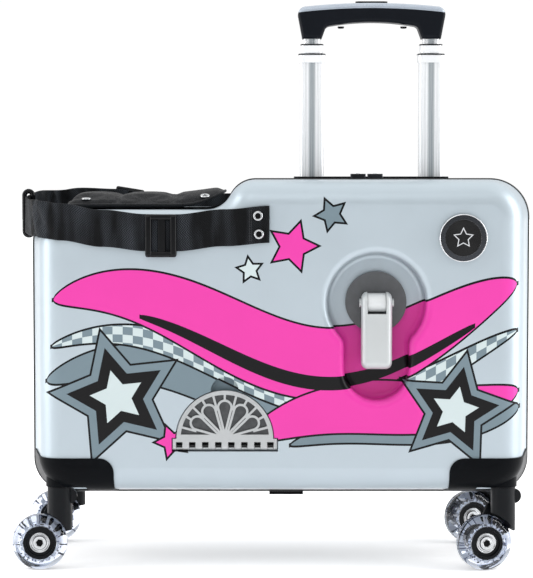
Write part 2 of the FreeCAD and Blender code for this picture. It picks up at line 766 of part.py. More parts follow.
def build_pedals():
    """The fold-down foot pedals: a plate with its fan of ribs, on a castellated hinge."""
    start = "pedal_x - pedal_strip_length / 2"
    barrel = cylinder("pedal_barrel", f"{PEDAL_THICK} / 2", "pedal_strip_length",
                      start, PEDAL_AXIS_Y, PEDAL_PIVOT_Z, "X")
    strip = box("pedal_strip", start, PEDAL_PLATE_Y, PEDAL_PIVOT_Z,
                "pedal_strip_length", "pedal_plate_thick", "pedal_pivot_drop")
    disc = cylinder("pedal_disc", "pedal_radius", "pedal_plate_thick",
                    "pedal_x", PEDAL_BACK_Y, "pedal_z", "-Y")
    upper = box("pedal_upper", "pedal_x - pedal_radius", PEDAL_PLATE_Y, "pedal_z",
                "2 * pedal_radius", "pedal_plate_thick", "pedal_radius")
    plate = fuse("pedal_whole", barrel, strip, common("pedal_half_disc", disc, upper))
    hole = cylinder("pedal_pin_hole", "pedal_pin_radius + running_fit", "pedal_strip_length",
                    start, PEDAL_AXIS_Y, PEDAL_PIVOT_Z, "X")
    fan_bed = box("pedal_fan_bed", start, PEDAL_FRONT_Y, PEDAL_PIVOT_Z,
                  "pedal_strip_length", "pedal_fan_thick", "pedal_pivot_drop")
    slots = []
    knuckles = []
    knuckle_width = "(pedal_slot_width - 2 * pedal_slot_clear)"
    slot_reach = "(pedal_knuckle_radius + pedal_knuckle_room)"
    for number, x in enumerate(slot_places(), start=1):
        slots.append(box(f"pedal_slot_{number}", f"{x} - pedal_slot_width / 2",
                         f"{PEDAL_AXIS_Y} - {PEDAL_THICK}", f"{PEDAL_PIVOT_Z} - {PEDAL_THICK}",
                         "pedal_slot_width", f"2 * {PEDAL_THICK}", f"{PEDAL_THICK} + {slot_reach}"))
        knuckles.append(cylinder(f"pedal_knuckle_{number}", "pedal_knuckle_radius", knuckle_width,
                                 f"{x} - {knuckle_width} / 2", PEDAL_AXIS_Y, PEDAL_PIVOT_Z, "X"))
        knuckles.append(box(f"pedal_lug_{number}", f"{x} - {knuckle_width} / 2", PEDAL_AXIS_Y,
                            f"{PEDAL_PIVOT_Z} - pedal_knuckle_radius", knuckle_width,
                            f"{FACE_Y} + pedal_recess_depth - {PEDAL_AXIS_Y}",
                            "2 * pedal_knuckle_radius"))
    rail = box("pedal_rail", start, f"{FACE_Y} + pedal_recess_depth - pedal_base_thick",
               f"{PEDAL_PIVOT_Z} - pedal_knuckle_radius", "pedal_strip_length",
               "pedal_base_thick", "pedal_knuckle_radius + pedal_pivot_drop")
    pin = cylinder("front_pedal_pin", "pedal_pin_radius", "pedal_strip_length",
                   start, PEDAL_AXIS_Y, PEDAL_PIVOT_Z, "X")
    gaps = fuse("pedal_gaps", hole, *slots)
    pedal = cut("front_pedal", cut("pedal_backed", plate, fan_bed), gaps)
    fan = doc.addObject("Part::Feature", "pedal_fan_ribs")
    fan.Shape = fan_ribs()
    fan = cut("front_pedal_fan", fan, gaps)
    base = cut("front_pedal_base", fuse("pedal_base_whole", rail, *knuckles), pin)
    for name, thing in (("pedal", pedal), ("pedal_fan", fan), ("pedal_base", base)):
        node(f"front_{name}", thing)
        node(f"rear_{name}", mirror(f"rear_{name}", thing))
    return pin


def fan_ribs():
    """The raised fan: a rim, a foot, a hub and petals with spokes, one solid."""
    middle = FreeCAD.Vector(size("pedal_x"), size(PEDAL_PLATE_Y), size("pedal_z"))
    radius, thick = size("pedal_radius"), size("pedal_fan_thick")
    outward = FreeCAD.Vector(0, -1, 0)
    petal, reach = size("fan_petal_radius"), size("fan_petal_reach")
    rib, rim = size("fan_rib_width"), size("fan_rim_width")
    count = int(size("fan_petal_count"))

    def disc(size_of):
        return Part.makeCylinder(size_of, thick, middle, outward)

    def teardrop(drop_radius, apex):
        lean = math.asin(petal / reach)
        side = (reach - apex) * math.cos(lean)
        tips = [FreeCAD.Vector(apex + side * math.cos(lean), 0, turn * side * math.sin(lean))
                for turn in (1, -1)]
        start = FreeCAD.Vector(apex, 0, 0)
        crown = FreeCAD.Vector(reach + drop_radius, 0, 0)
        edges = [Part.LineSegment(start, tips[0]).toShape(),
                 Part.Arc(tips[0], crown, tips[1]).toShape(),
                 Part.LineSegment(tips[1], start).toShape()]
        return Part.Face(Part.Wire(edges)).extrude(outward * thick)

    def spoke(start, stop):
        return Part.makeBox(stop - start, thick, rib, FreeCAD.Vector(start, -thick, -rib / 2))

    def turned(shape, angle):
        shape = shape.copy()
        shape.rotate(FreeCAD.Vector(), outward, angle)
        shape.translate(middle)
        return shape

    inner_apex = rib / (petal / reach)
    pieces = [disc(radius).cut(disc(radius - rim)), disc(size("fan_hub_radius"))]
    step = 180 / (count + 1)
    openings = []
    for number in range(1, count + 1):
        angle = step * number
        pieces.append(turned(teardrop(petal, 0), angle))
        openings.append(turned(teardrop(petal - rib, inner_apex), angle))
        pieces.append(turned(spoke(reach + petal - rib, radius - rim / 2), angle))
    for number in range(count + 1):
        pieces.append(turned(spoke(reach - rib, radius - rim / 2), step * (number + 0.5)))
    fan = pieces[0].multiFuse(pieces[1:]).cut(openings)
    keep = Part.makeBox(2 * radius, thick, radius,
                        middle - FreeCAD.Vector(radius, thick, 0))
    sill = Part.makeBox(2 * radius, thick, rim, middle - FreeCAD.Vector(radius, thick, 0))
    length, drop = size("pedal_strip_length"), size("pedal_pivot_drop")
    foot = Part.makeBox(length, thick, drop, middle - FreeCAD.Vector(length / 2, thick, drop))
    whole = fan.common(keep).multiFuse([foot, sill.common(disc(radius))])
    return whole.removeSplitter().Solids[0]


def tube_pair(name, bottom, height, width, thick, wall):
    """Two hollow tubes of one stage of the trolley handle."""
    outsides = both_stages(f"{name}_outside", bottom, height, width, thick, "tube_round")
    insides = both_stages(f"{name}_inside", bottom, height, f"{width} - 2 * {wall}",
                          f"{thick} - 2 * {wall}", f"tube_round - {wall}")
    tubes = [cut(f"{name}_{side}", outside, inside)
             for side, outside, inside in zip(STAGE_X, outsides, insides)]
    return group(name, *tubes)


def collar_pair(name, top, outer_width, outer_thick, inner_width, inner_thick):
    """Two collars, each round the mouth of a tube and close to the tube that slides in it."""
    bottom = f"{top} - collar_height"
    blocks = both_stages(f"{name}_block", bottom, "collar_height", f"{outer_width} + 2 * collar_wall",
                         f"{outer_thick} + 2 * collar_wall", "tube_round + collar_wall")
    seats = both_stages(f"{name}_seat", bottom, "collar_height - collar_lip",
                        outer_width, outer_thick, "tube_round")
    mouths = both_stages(f"{name}_mouth", bottom, "collar_height", f"{inner_width} + 2 * sliding_gap",
                         f"{inner_thick} + 2 * sliding_gap", "tube_round - sliding_gap")
    collars = [cut(f"{name}_{side}", block, seat, mouth)
               for side, block, seat, mouth in zip(STAGE_X, blocks, seats, mouths)]
    return group(name, *collars)


def build_trolley():
    height = f"{DECK_UNDER} - housing_bottom"
    outsides = both_stages("housing_outside", "housing_bottom", height, HOUSING_WIDTH,
                           HOUSING_THICK, "housing_round")
    passages = both_stages("housing_inside", "housing_bottom + housing_wall", height,
                           PASSAGE_WIDTH, PASSAGE_THICK, "tube_round + sliding_gap")
    ties = [box(f"housing_tie_{end}", f"{HANDLE_X} - handle_spacing / 2",
                "handle_y - housing_wall", z, "handle_spacing", "2 * housing_wall",
                "stage_low_width")
            for end, z in (("low", "housing_bottom"),
                           ("high", f"{DECK_UNDER} - 2 * stage_low_width"))]
    housing = cut("trolley_housing", fuse("housing_whole", *outsides, *ties), *passages)
    node("trolley_housing", housing)
    plate = rounded_bar("bezel_plate", HANDLE_X, "handle_y", "deck_top", "bezel_length",
                        "bezel_depth", "bezel_thick", "bezel_round")
    mouths = both_stages("bezel_mouth", "deck_top", "bezel_thick", PASSAGE_WIDTH, PASSAGE_THICK,
                         "tube_round + sliding_gap")
    node("trolley_bezel", cut("trolley_bezel", plate, *mouths))
    node("stage_low_tubes", tube_pair(
        "stage_low_tubes", "stage_low_top - stage_low_length", "stage_low_length - collar_lip",
        "stage_low_width", "stage_low_thick", "stage_low_wall"))
    node("stage_low_collars", collar_pair(
        "stage_low_collars", "stage_low_top", "stage_low_width", "stage_low_thick",
        "stage_mid_width", "stage_mid_thick"))
    node("stage_mid_tubes", tube_pair(
        "stage_mid_tubes", "stage_mid_top - stage_mid_length", "stage_mid_length - collar_lip",
        "stage_mid_width", "stage_mid_thick", "stage_mid_wall"))
    node("stage_mid_collars", collar_pair(
        "stage_mid_collars", "stage_mid_top", "stage_mid_width", "stage_mid_thick",
        "stage_top_width", "stage_top_thick"))
    node("stage_top_tubes", tube_pair(
        "stage_top_tubes", "grip_leg_bottom + grip_socket_depth - stage_top_length",
        "stage_top_length", "stage_top_width", "stage_top_thick", "stage_mid_wall"))
    build_grip()


def build_grip():
    """The arched grip with its top cap and release button."""
    half_legs, leg = "handle_spacing / 2", "grip_leg_width / 2"
    end = "(grip_length / 2)"
    inside = f"({half_legs} - {leg} - grip_rise)"
    body = new_body("grip_block")
    sketch = new_sketch(body, "grip_face", "XZ_Plane", "-handle_y - grip_thick / 2")
    spring_line = "(grip_under - grip_rise)"
    under_arc = f"({inside} ^ 2 + grip_rise ^ 2) / (2 * grip_rise)"
    top_arc = f"({end} ^ 2 + grip_arch ^ 2) / (2 * grip_arch)"
    tops = [(f"{HANDLE_X} + {end}", "grip_top"), (f"{HANDLE_X} - {end}", "grip_top")]
    springs = [(f"{HANDLE_X} - {inside}", spring_line), (f"{HANDLE_X} + {inside}", spring_line)]
    draw_outline(sketch, [
        (f"{HANDLE_X} - {half_legs} - {leg}", "grip_leg_bottom"),
        (f"{HANDLE_X} - {half_legs} + {leg}", "grip_leg_bottom"),
        *springs,
        (f"{HANDLE_X} + {half_legs} - {leg}", "grip_leg_bottom"),
        (f"{HANDLE_X} + {half_legs} + {leg}", "grip_leg_bottom"),
        *tops,
    ], {2: (under_arc, "right"), 6: (top_arc, "left")})
    pad(body, sketch, "grip_thick")
    near, far = size("handle_y - grip_thick / 2"), size("handle_y + grip_thick / 2")

    def across(points):
        tests = [joins(FreeCAD.Vector(size(x), near, size(z)), FreeCAD.Vector(size(x), far, size(z)))
                 for x, z in points]
        return lambda edge: any(test(edge) for test in tests)

    round_edges(body, "grip_shoulders", across(tops), "grip_shoulder_round")
    round_edges(body, "grip_springs", across(springs), "grip_inner_round")
    reach = size("case_length")
    faces = [within((-reach, y, 0), (reach, y, 2 * reach)) for y in (near, far)]
    round_edges(body, "grip_sides", lambda edge: any(test(edge) for test in faces), "grip_round")
    region = new_body("cap_region")
    outline = new_sketch(region, "cap_region_face", "XZ_Plane", "-handle_y - grip_thick / 2")
    low, high = "grip_top - cap_thick", "grip_top + grip_thick"
    draw_outline(outline, [
        (f"{HANDLE_X} - {end}", low),
        (f"{HANDLE_X} + {end}", low),
        (f"{HANDLE_X} + {end}", high),
        (f"{HANDLE_X} - {end}", high),
    ], {0: (top_arc, "right")})
    pad(region, outline, "grip_thick")
    slot_top = "grip_top + grip_arch"
    button_bottom = f"{slot_top} + button_proud - button_height"
    slot = rounded_bar("button_slot", HANDLE_X, "handle_y",
                       f"{button_bottom} - button_travel - sliding_gap",
                       "button_length + 2 * sliding_gap", "button_depth + 2 * sliding_gap",
                       "button_height + button_travel + sliding_gap",
                       "button_depth / 2 - sliding_gap")
    sockets = both_stages("grip_socket", "grip_leg_bottom", "grip_socket_depth",
                          "stage_top_width", "stage_top_thick", "tube_round")
    node("grip_cap", cut("grip_cap", common("cap_whole", body, region), slot))
    node("grip_body", cut("grip_body", body, region, slot, *sockets))
    node("grip_button", rounded_bar("grip_button", HANDLE_X, "handle_y", button_bottom,
                                    "button_length", "button_depth", "button_height",
                                    "button_depth / 2 - 2 * sliding_gap"))


CASTERS = {
    "front_left": (f"-{STEM_X}", "-stem_y"),
    "front_right": (STEM_X, "-stem_y"),
    "rear_left": (f"-{STEM_X}", "stem_y"),
    "rear_right": (STEM_X, "stem_y"),
}
ARM_Y = "(wheel_width / 2 + wheel_gap)"


def stand(thing, place):
    """Moves a piece made round the stem to its corner and turns it as the caster stands."""
    x, y = CASTERS[place]
    thing.Placement = FreeCAD.Placement(FreeCAD.Vector(), FreeCAD.Rotation(FreeCAD.Vector(0, 0, 1), 1))
    thing.setExpression("Placement.Base.x", formula(x))
    thing.setExpression("Placement.Base.y", formula(y))
    thing.setExpression("Placement.Rotation.Angle", formula(f"yaw_{place}"))
    return thing


def build_caster(place):
    """One caster, made with its stem at the middle and its wheel trailing towards -X."""
    axle_x = "-wheel_trail"
    fork_top = "(socket_bottom - fork_gap)"
    column = cylinder(f"{place}_column", "fork_radius", f"{fork_top} - fork_skirt",
                      "0", "0", "fork_skirt")
    stem = cylinder(f"{place}_stem", "stem_radius", "stem_length", "0", "0", fork_top)
    nub = cylinder(f"{place}_nub", "nub_radius", "nub_width", "nub_reach - nub_radius",
                   "-nub_width / 2", "socket_bottom - nub_drop", "Y")
    hood = cylinder(f"{place}_hood", "wheel_radius + hood_gap", f"2 * wheel_width + {ARM_Y}",
                    axle_x, "-2 * wheel_width", "wheel_radius", "Y")
    boss = cylinder(f"{place}_axle_boss", "axle_boss_radius", "fork_arm_thick",
                    axle_x, ARM_Y, "wheel_radius", "Y")
    arm = new_body(f"{place}_arm")
    sketch = new_sketch(arm, f"{place}_arm_face", "XZ_Plane", f"-{ARM_Y} - fork_arm_thick")
    draw_outline(sketch, [
        ("-fork_radius", "fork_arm_top"),
        ("-wheel_trail - axle_boss_radius", "wheel_radius"),
        ("-wheel_trail", "wheel_radius - axle_boss_radius"),
        ("fork_radius", "fork_skirt"),
        ("fork_radius", "fork_arm_top"),
    ])
    pad(arm, sketch, "fork_arm_thick")
    shank_end = f"{ARM_Y} + fork_arm_thick"
    head_seat = "(hub_width / 2 - hub_dish)"
    shank = cylinder(f"{place}_shank", "axle_radius", f"{shank_end} + {head_seat} + axle_head_thick",
                     axle_x, f"-{head_seat} - axle_head_thick", "wheel_radius", "Y")
    fork = fuse(f"{place}_fork_whole", cut(f"{place}_column_cut", fuse(
        f"{place}_column_nub", column, nub), hood), stem, boss, arm)
    stand(node(f"{place}_fork", cut(f"{place}_fork", fork, shank)), place)
    head = cylinder(f"{place}_bolt_head", "axle_head_radius", "axle_head_thick - soft_gap",
                    axle_x, f"-{head_seat} - axle_head_thick", "wheel_radius", "Y")
    key = cylinder(f"{place}_bolt_key", "axle_key_radius", "axle_head_thick / 2",
                   axle_x, f"-{head_seat} - axle_head_thick", "wheel_radius", "Y")
    washer = cylinder(f"{place}_washer", "axle_washer_radius", f"{ARM_Y} - {head_seat} - soft_gap",
                      axle_x, f"{head_seat} + soft_gap", "wheel_radius", "Y")
    bolt = cut(f"{place}_axle", fuse(f"{place}_axle_whole", shank, head, washer), key)
    stand(node(f"{place}_axle", bolt), place)
    stand(node(f"{place}_tyre", tyre_body(place)), place)
    disc = cylinder(f"{place}_hub_disc", "hub_radius", "hub_width", axle_x, "-hub_width / 2",
                    "wheel_radius", "Y")
    dishes = [cylinder(f"{place}_dish_{side}", "hub_face_radius", "hub_dish", axle_x, y,
                       "wheel_radius", "Y")
              for side, y in (("near", "-hub_width / 2"), ("far", "hub_width / 2 - hub_dish"))]
    bore = cylinder(f"{place}_hub_bore", "axle_radius + running_fit", "hub_width", axle_x,
                    "-hub_width / 2", "wheel_radius", "Y")
    stand(node(f"{place}_hub", cut(f"{place}_hub", disc, bore, *dishes)), place)


def tyre_body(place):
    """The tyre: a ring with rounded shoulders."""
    body = new_body(f"{place}_tyre")
    sketch = new_sketch(body, f"{place}_tyre_face", "XZ_Plane", "-wheel_width / 2")
    draw_circle(sketch, "-wheel_trail", "wheel_radius", "wheel_radius")
    pad(body, sketch, "wheel_width")
    round_edges(body, f"{place}_shoulders",
                lambda edge: abs(edge.BoundBox.YLength) < NEAR * 10, "tyre_round")
    bore = new_sketch(body, f"{place}_tyre_bore", "XZ_Plane", "wheel_width / 2")
    draw_circle(bore, "-wheel_trail", "wheel_radius", "hub_radius")
    pocket(body, bore, "wheel_width")
    return body


BELT_NEAR_Y = f"(-({HALF_DEPTH} + belt_gap))"
BELT_FAR_Y = f"({BELT_NEAR_Y} - belt_thick)"
BELT_CORNER_X = f"(-({HALF_LENGTH} - {HALF_DEPTH} * tan(side_draft) + belt_gap))"
BELT_TAIL_X = f"(-({HALF_LENGTH} + belt_stand_off))"


def belt_tail_x(y):
    """Where the belt's inner face is, that far in front of the parting at the tail."""
    return f"({BELT_TAIL_X} + ({BELT_CORNER_X} - {BELT_TAIL_X}) * ({y}) / -{BELT_NEAR_Y})"


def belt_band(name, middle, end_gap):
    """Webbing from its rivets along the front face and round the tail corner."""
    bottom = f"{middle} - belt_width / 2"
    body = new_body(name)
    sketch = new_sketch(body, f"{name}_plan", "XY_Plane", bottom)
    tail = belt_tail_x(end_gap)
    draw_outline(sketch, [
        ("belt_end_x", BELT_NEAR_Y),
        (BELT_CORNER_X, BELT_NEAR_Y),
        (tail, f"-{end_gap}"),
        (f"{tail} - belt_thick", f"-{end_gap}"),
        (f"{BELT_CORNER_X} - belt_thick", BELT_FAR_Y),
        ("belt_end_x", BELT_FAR_Y),
    ])
    pad(body, sketch, "belt_width")
    heights = (size(bottom), size(bottom) + size("belt_width"))
    for part, x, y, radius in (
            ("inside", BELT_CORNER_X, BELT_NEAR_Y, "belt_corner_round"),
            ("outside", f"{BELT_CORNER_X} - belt_thick", BELT_FAR_Y,
             "belt_corner_round + belt_thick")):
        corner = [FreeCAD.Vector(size(x), size(y), z) for z in heights]
        round_edges(body, f"{name}_{part}", joins(*corner), radius)
    return body


def belt_rivets(name, middle):
    """Two rivets that hold the belt's end to the shell, each with a spacer below it."""
    rivets = []
    shanks = []
    for level, sign in (("low", "-"), ("high", "+")):
        where = ("belt_end_x - rivet_inset", f"{middle} {sign} rivet_spacing / 2")
        shank = cylinder(f"{name}_{level}_shank", "rivet_shank_radius", "belt_gap + belt_thick",
                         where[0], FACE_Y, where[1], "-Y")
        spacer = cylinder(f"{name}_{level}_spacer", "rivet_radius", "belt_gap",
                          where[0], FACE_Y, where[1], "-Y")
        head = cylinder(f"{name}_{level}_head", "rivet_radius", "rivet_head",
                        where[0], BELT_FAR_Y, where[1], "-Y")
        rivets.append(fuse(f"{name}_{level}", shank, spacer, head))
        shanks.append(shank)
    return rivets, shanks


def slide_buckle(name, x, middle):
    """The three-bar buckle that the belt's length is set with."""
    height = "slide_buckle_height"
    start = f"{x} - slide_buckle_length / 2"
    thick = "(belt_thick + 2 * slide_buckle_rail)"
    block = box(f"{name}_block", start, f"{BELT_FAR_Y} - slide_buckle_rail",
                f"{middle} - {height} / 2", "slide_buckle_length", thick, height)
    slot = box(f"{name}_slot", start, f"{BELT_FAR_Y} - soft_gap",
               f"{middle} - belt_width / 2 - soft_gap", "slide_buckle_length",
               "belt_thick + 2 * soft_gap", "belt_width + 2 * soft_gap")
    window = "(slide_buckle_length - 3 * slide_buckle_bar) / 2"
    windows = [box(f"{name}_window_{number}",
                   f"{start} + slide_buckle_bar + {number} * ({window} + slide_buckle_bar)",
                   f"{BELT_FAR_Y} - slide_buckle_rail",
                   f"{middle} - {height} / 2 + slide_buckle_bar", window, thick,
                   f"{height} - 2 * slide_buckle_bar") for number in range(2)]
    return cut(name, block, slot, *windows)


def build_belt():
    front_rivets, shanks = belt_rivets("front_rivet", "belt_front_z")
    band = belt_band("front_band", "belt_front_z", "belt_parting_gap")
    node("front_belt", cut("front_belt", band, *shanks))
    node("front_slide_buckle", slide_buckle("front_slide_buckle", "slide_buckle_x", "belt_front_z"))
    node("front_belt_rivets", group("front_belt_rivets", *front_rivets))
    rear_rivets, shanks = belt_rivets("rear_rivet", "belt_rear_z")
    band = belt_band("rear_band", "belt_rear_z", "soft_gap")
    node("rear_belt", mirror("rear_belt", cut("rear_belt_plain", band, *shanks)))
    node("rear_slide_buckle", mirror("rear_slide_buckle", slide_buckle(
        "rear_slide_buckle_plain", "slide_buckle_rear_x", "belt_rear_z")))
    build_ring()
    return [mirror(f"{rivet.Name}_mirrored", rivet) for rivet in rear_rivets]


def build_ring():
    """The oval ring at the tail that the belt runs through."""
    x = f"({belt_tail_x('ring_y')} - belt_thick / 2)"
    rise = "(ring_height / 2 - ring_bar_space - ring_bar_radius)"
    parts = [cylinder(f"ring_bar_{side}", "ring_bar_radius", f"2 * {rise}",
                      f"{x} {sign} ring_bar_space", "ring_y", f"ring_z - {rise}")
             for side, sign in (("left", "-"), ("right", "+"))]
    for end, sign, along in (("top", "+", "-Y"), ("bottom", "-", "Y")):
        bend = doc.addObject("Part::Torus", f"ring_bend_{end}")
        bind(bend, Radius1="ring_bar_space", Radius2="ring_bar_radius")
        bend.Angle3 = 180
        parts.append(place(bend, x, "ring_y", f"ring_z {sign} {rise}", along))
    node("belt_ring", fuse("belt_ring", *parts))


CUSHION_BASE = "(seat_top + tape_proud + cushion_clear)"


CUSHION_SECTION = "((cushion_right_x - cushion_left_x) / cushion_sections)"


def cushion_section(number):
    """One quilted section of the pad: crowned, its sides drawn in, the last one climbing."""
    count = int(size("cushion_sections"))
    climbs = number == count - 1
    left = f"(cushion_left_x + {number} * {CUSHION_SECTION})"
    right = f"(cushion_left_x + {number + 1} * {CUSHION_SECTION})"
    edge = f"({CUSHION_BASE} + cushion_thick - cushion_channel)"
    low_rise, top_rise = ("cushion_rise", "cushion_top_rise") if climbs else ("0", "0")
    bulge = (f"(({CUSHION_SECTION} ^ 2 + {top_rise} ^ 2) / 4 + cushion_channel ^ 2)"
             " / (2 * cushion_channel)")
    arcs = {2: (bulge, "left")}
    if climbs:
        arcs[0] = (f"({CUSHION_SECTION} ^ 2 + {low_rise} ^ 2) / (2 * {low_rise})", "left")
    name = f"cushion_section_{number}"
    body = new_body(name)
    side = new_sketch(body, f"{name}_side", "XZ_Plane", "-cushion_depth / 2")
    draw_outline(side, [(left, CUSHION_BASE), (right, f"{CUSHION_BASE} + {low_rise}"),
                        (right, f"{edge} + {top_rise}"), (left, edge)], arcs)
    pad(body, side, "cushion_depth")
    draw_in_sides(body, name)
    ends = []
    if number == 0:
        ends.append(size(left))
    if climbs:
        ends.append(size(right))

    def end_corner(found):
        bounds = found.BoundBox
        return bounds.YLength < NEAR and any(
            max(abs(bounds.XMin - x), abs(bounds.XMax - x)) < NEAR for x in ends)

    if ends:
        round_edges(body, f"{name}_corners", end_corner, "cushion_corner_round")
    radius = "((cushion_depth / 2) ^ 2 + cushion_crown ^ 2) / (2 * cushion_crown)"
    lean = f"atan({top_rise} / {CUSHION_SECTION})"
    arch = cylinder(f"{name}_arch", radius, f"3 * {CUSHION_SECTION}",
                    f"{left} - {CUSHION_SECTION}", "0",
                    f"{edge} + cushion_channel - {top_rise} - {radius} / cos({lean})", "X")
    bind(arch, **{"Placement.Rotation.Angle": f"90 - {lean} / 1 deg"})
    return common(f"{name}_crowned", body, arch)


def draw_in_sides(body, name):
    """Cuts the pad's long sides to a shallow waist."""
    half_length = "((cushion_right_x - cushion_left_x) / 2 + soft_gap)"
    middle = "(cushion_left_x + cushion_right_x) / 2"
    waist = f"({half_length} ^ 2 + cushion_side_draw ^ 2) / (2 * cushion_side_draw)"
    for place_name, sign, turn in (("near", "-", "left"), ("far", "", "right")):
        plan = new_sketch(body, f"{name}_{place_name}", "XY_Plane", CUSHION_BASE)
        outside = f"{sign}(cushion_depth / 2 + soft_gap)"
        draw_outline(plan, [(f"{middle} - {half_length}", outside),
                            (f"{middle} + {half_length}", outside),
                            (f"{middle} + {half_length}", f"{sign}cushion_depth / 2"),
                            (f"{middle} - {half_length}", f"{sign}cushion_depth / 2")],
                     {2: (waist, turn)})
        pocket(body, plan, "2 * cushion_thick + cushion_rise", True)


def build_cushion():
    holes = []
    eyelets = []
    climb = f"cushion_rise * (1 - seat_rivet_inset_x / {CUSHION_SECTION}) ^ 2"
    for end, x, bottom, lift in (
            ("left", "cushion_left_x + seat_rivet_inset_x", CUSHION_BASE, "0"),
            ("right", "cushion_right_x - seat_rivet_inset_x",
             f"{CUSHION_BASE} + {climb} + seat_rivet_lift", "seat_rivet_lift")):
        for side, y in (("near", "-(cushion_depth / 2 - seat_rivet_inset_y)"),
                        ("far", "cushion_depth / 2 - seat_rivet_inset_y")):
            name = f"seat_rivet_{end}_{side}"
            height = f"seat_rivet_height - {lift}"
            post = cylinder(name, "seat_rivet_radius", height, x, y, bottom)
            eye = cylinder(f"{name}_eye", "seat_rivet_radius - seat_rivet_thick", height, x, y, bottom)
            eyelets.append(cut(f"{name}_ring", post, eye))
            holes.append(post)
    sections = [cushion_section(number) for number in range(int(size("cushion_sections")))]
    node("seat_cushion", cut("seat_cushion", fuse("cushion_whole", *sections), *holes))
    return eyelets


def build_badge():
    ring = cut("badge_ring",
               cylinder("badge_rim", "badge_radius", "badge_thick", BADGE_X, FACE_Y, "badge_z", "-Y"),
               cylinder("badge_bed", "badge_disc_radius", "badge_thick", BADGE_X, FACE_Y,
                        "badge_z", "-Y"))
    node("badge_ring", ring)
    node("badge_disc", cylinder("badge_disc", "badge_disc_radius", "badge_disc_thick", BADGE_X,
                                FACE_Y, "badge_z", "-Y"))


def build_all():
    outer = build_shells()
    build_tape(outer)
    build_guards(outer)
    front_pins = [build_bars(), build_pedals()]
    node("front_hinge_pins", group("front_hinge_pins", *front_pins))
    node("rear_hinge_pins", mirror("rear_hinge_pins", NODES["front_hinge_pins"]))
    build_trolley()
    for place_name in CASTERS:
        build_caster(place_name)
    rear_rivets = build_belt()
    node("rear_rivets", group("rear_rivets", *rear_rivets, *build_cushion()))
    build_badge()


def write_parts():
    """Checks every object, then writes each sub-part to a file of its own."""
    doc.recompute()
    failed = [thing.Name for thing in doc.Objects
              if any(word in ("Invalid", "Error") for word in thing.State)]
    if failed:
        raise RuntimeError(f"these objects failed: {failed}")
    for name, thing in NODES.items():
        if thing.Shape.isNull() or not thing.Shape.isValid() or not thing.Shape.Solids:
            raise RuntimeError(f"{name} has no valid solid")
    os.makedirs("parts", exist_ok=True)
    for name, thing in NODES.items():
        thing.Shape.exportStep(f"parts/{name}.step")
    print(f"{len(NODES)} sub-parts written")


build_all()
write_parts()
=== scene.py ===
import json
import math
import random
from functools import partialmethod

import bmesh
import bpy
from mathutils import Matrix, Vector, noise


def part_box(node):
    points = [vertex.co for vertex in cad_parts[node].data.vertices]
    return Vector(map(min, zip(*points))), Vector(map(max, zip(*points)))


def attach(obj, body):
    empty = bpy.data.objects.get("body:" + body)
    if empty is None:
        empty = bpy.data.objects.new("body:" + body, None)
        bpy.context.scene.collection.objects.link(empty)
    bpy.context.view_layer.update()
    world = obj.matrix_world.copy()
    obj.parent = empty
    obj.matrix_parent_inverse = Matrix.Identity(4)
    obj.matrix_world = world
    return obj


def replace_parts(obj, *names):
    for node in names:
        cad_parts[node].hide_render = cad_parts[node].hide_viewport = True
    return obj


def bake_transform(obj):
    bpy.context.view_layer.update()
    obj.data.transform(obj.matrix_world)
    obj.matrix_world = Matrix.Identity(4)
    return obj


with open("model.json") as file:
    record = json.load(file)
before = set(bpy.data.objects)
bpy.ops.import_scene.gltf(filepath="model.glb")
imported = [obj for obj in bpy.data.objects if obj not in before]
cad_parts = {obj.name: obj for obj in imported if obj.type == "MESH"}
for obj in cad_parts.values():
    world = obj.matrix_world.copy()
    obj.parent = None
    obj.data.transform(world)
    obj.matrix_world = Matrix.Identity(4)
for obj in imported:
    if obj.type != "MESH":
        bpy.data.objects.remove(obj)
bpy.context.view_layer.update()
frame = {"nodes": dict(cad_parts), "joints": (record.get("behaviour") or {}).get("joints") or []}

MM = 0.001
UP = Vector((0, 0, 1))
NODES = frame["nodes"]


def tone(red, green, blue):
    """A colour given as it looks on a screen, 0 to 255, as the linear colour of a shader."""
    def linear(value):
        value /= 255
        return value / 12.92 if value <= 0.04045 else ((value + 0.055) / 1.055) ** 2.4
    return (linear(red), linear(green), linear(blue), 1)


SILVER_BLUE = tone(168, 179, 186)
PINK = tone(208, 58, 151)
SLATE = tone(106, 122, 130)
PALE = tone(184, 196, 197)
INK = tone(7, 7, 9)
BLACK_PLASTIC = tone(3, 5, 8)
GLOSS_BLACK = tone(3, 4, 6)
DUST_GREY = tone(190, 188, 184)
WHITE = (1, 1, 1, 1)


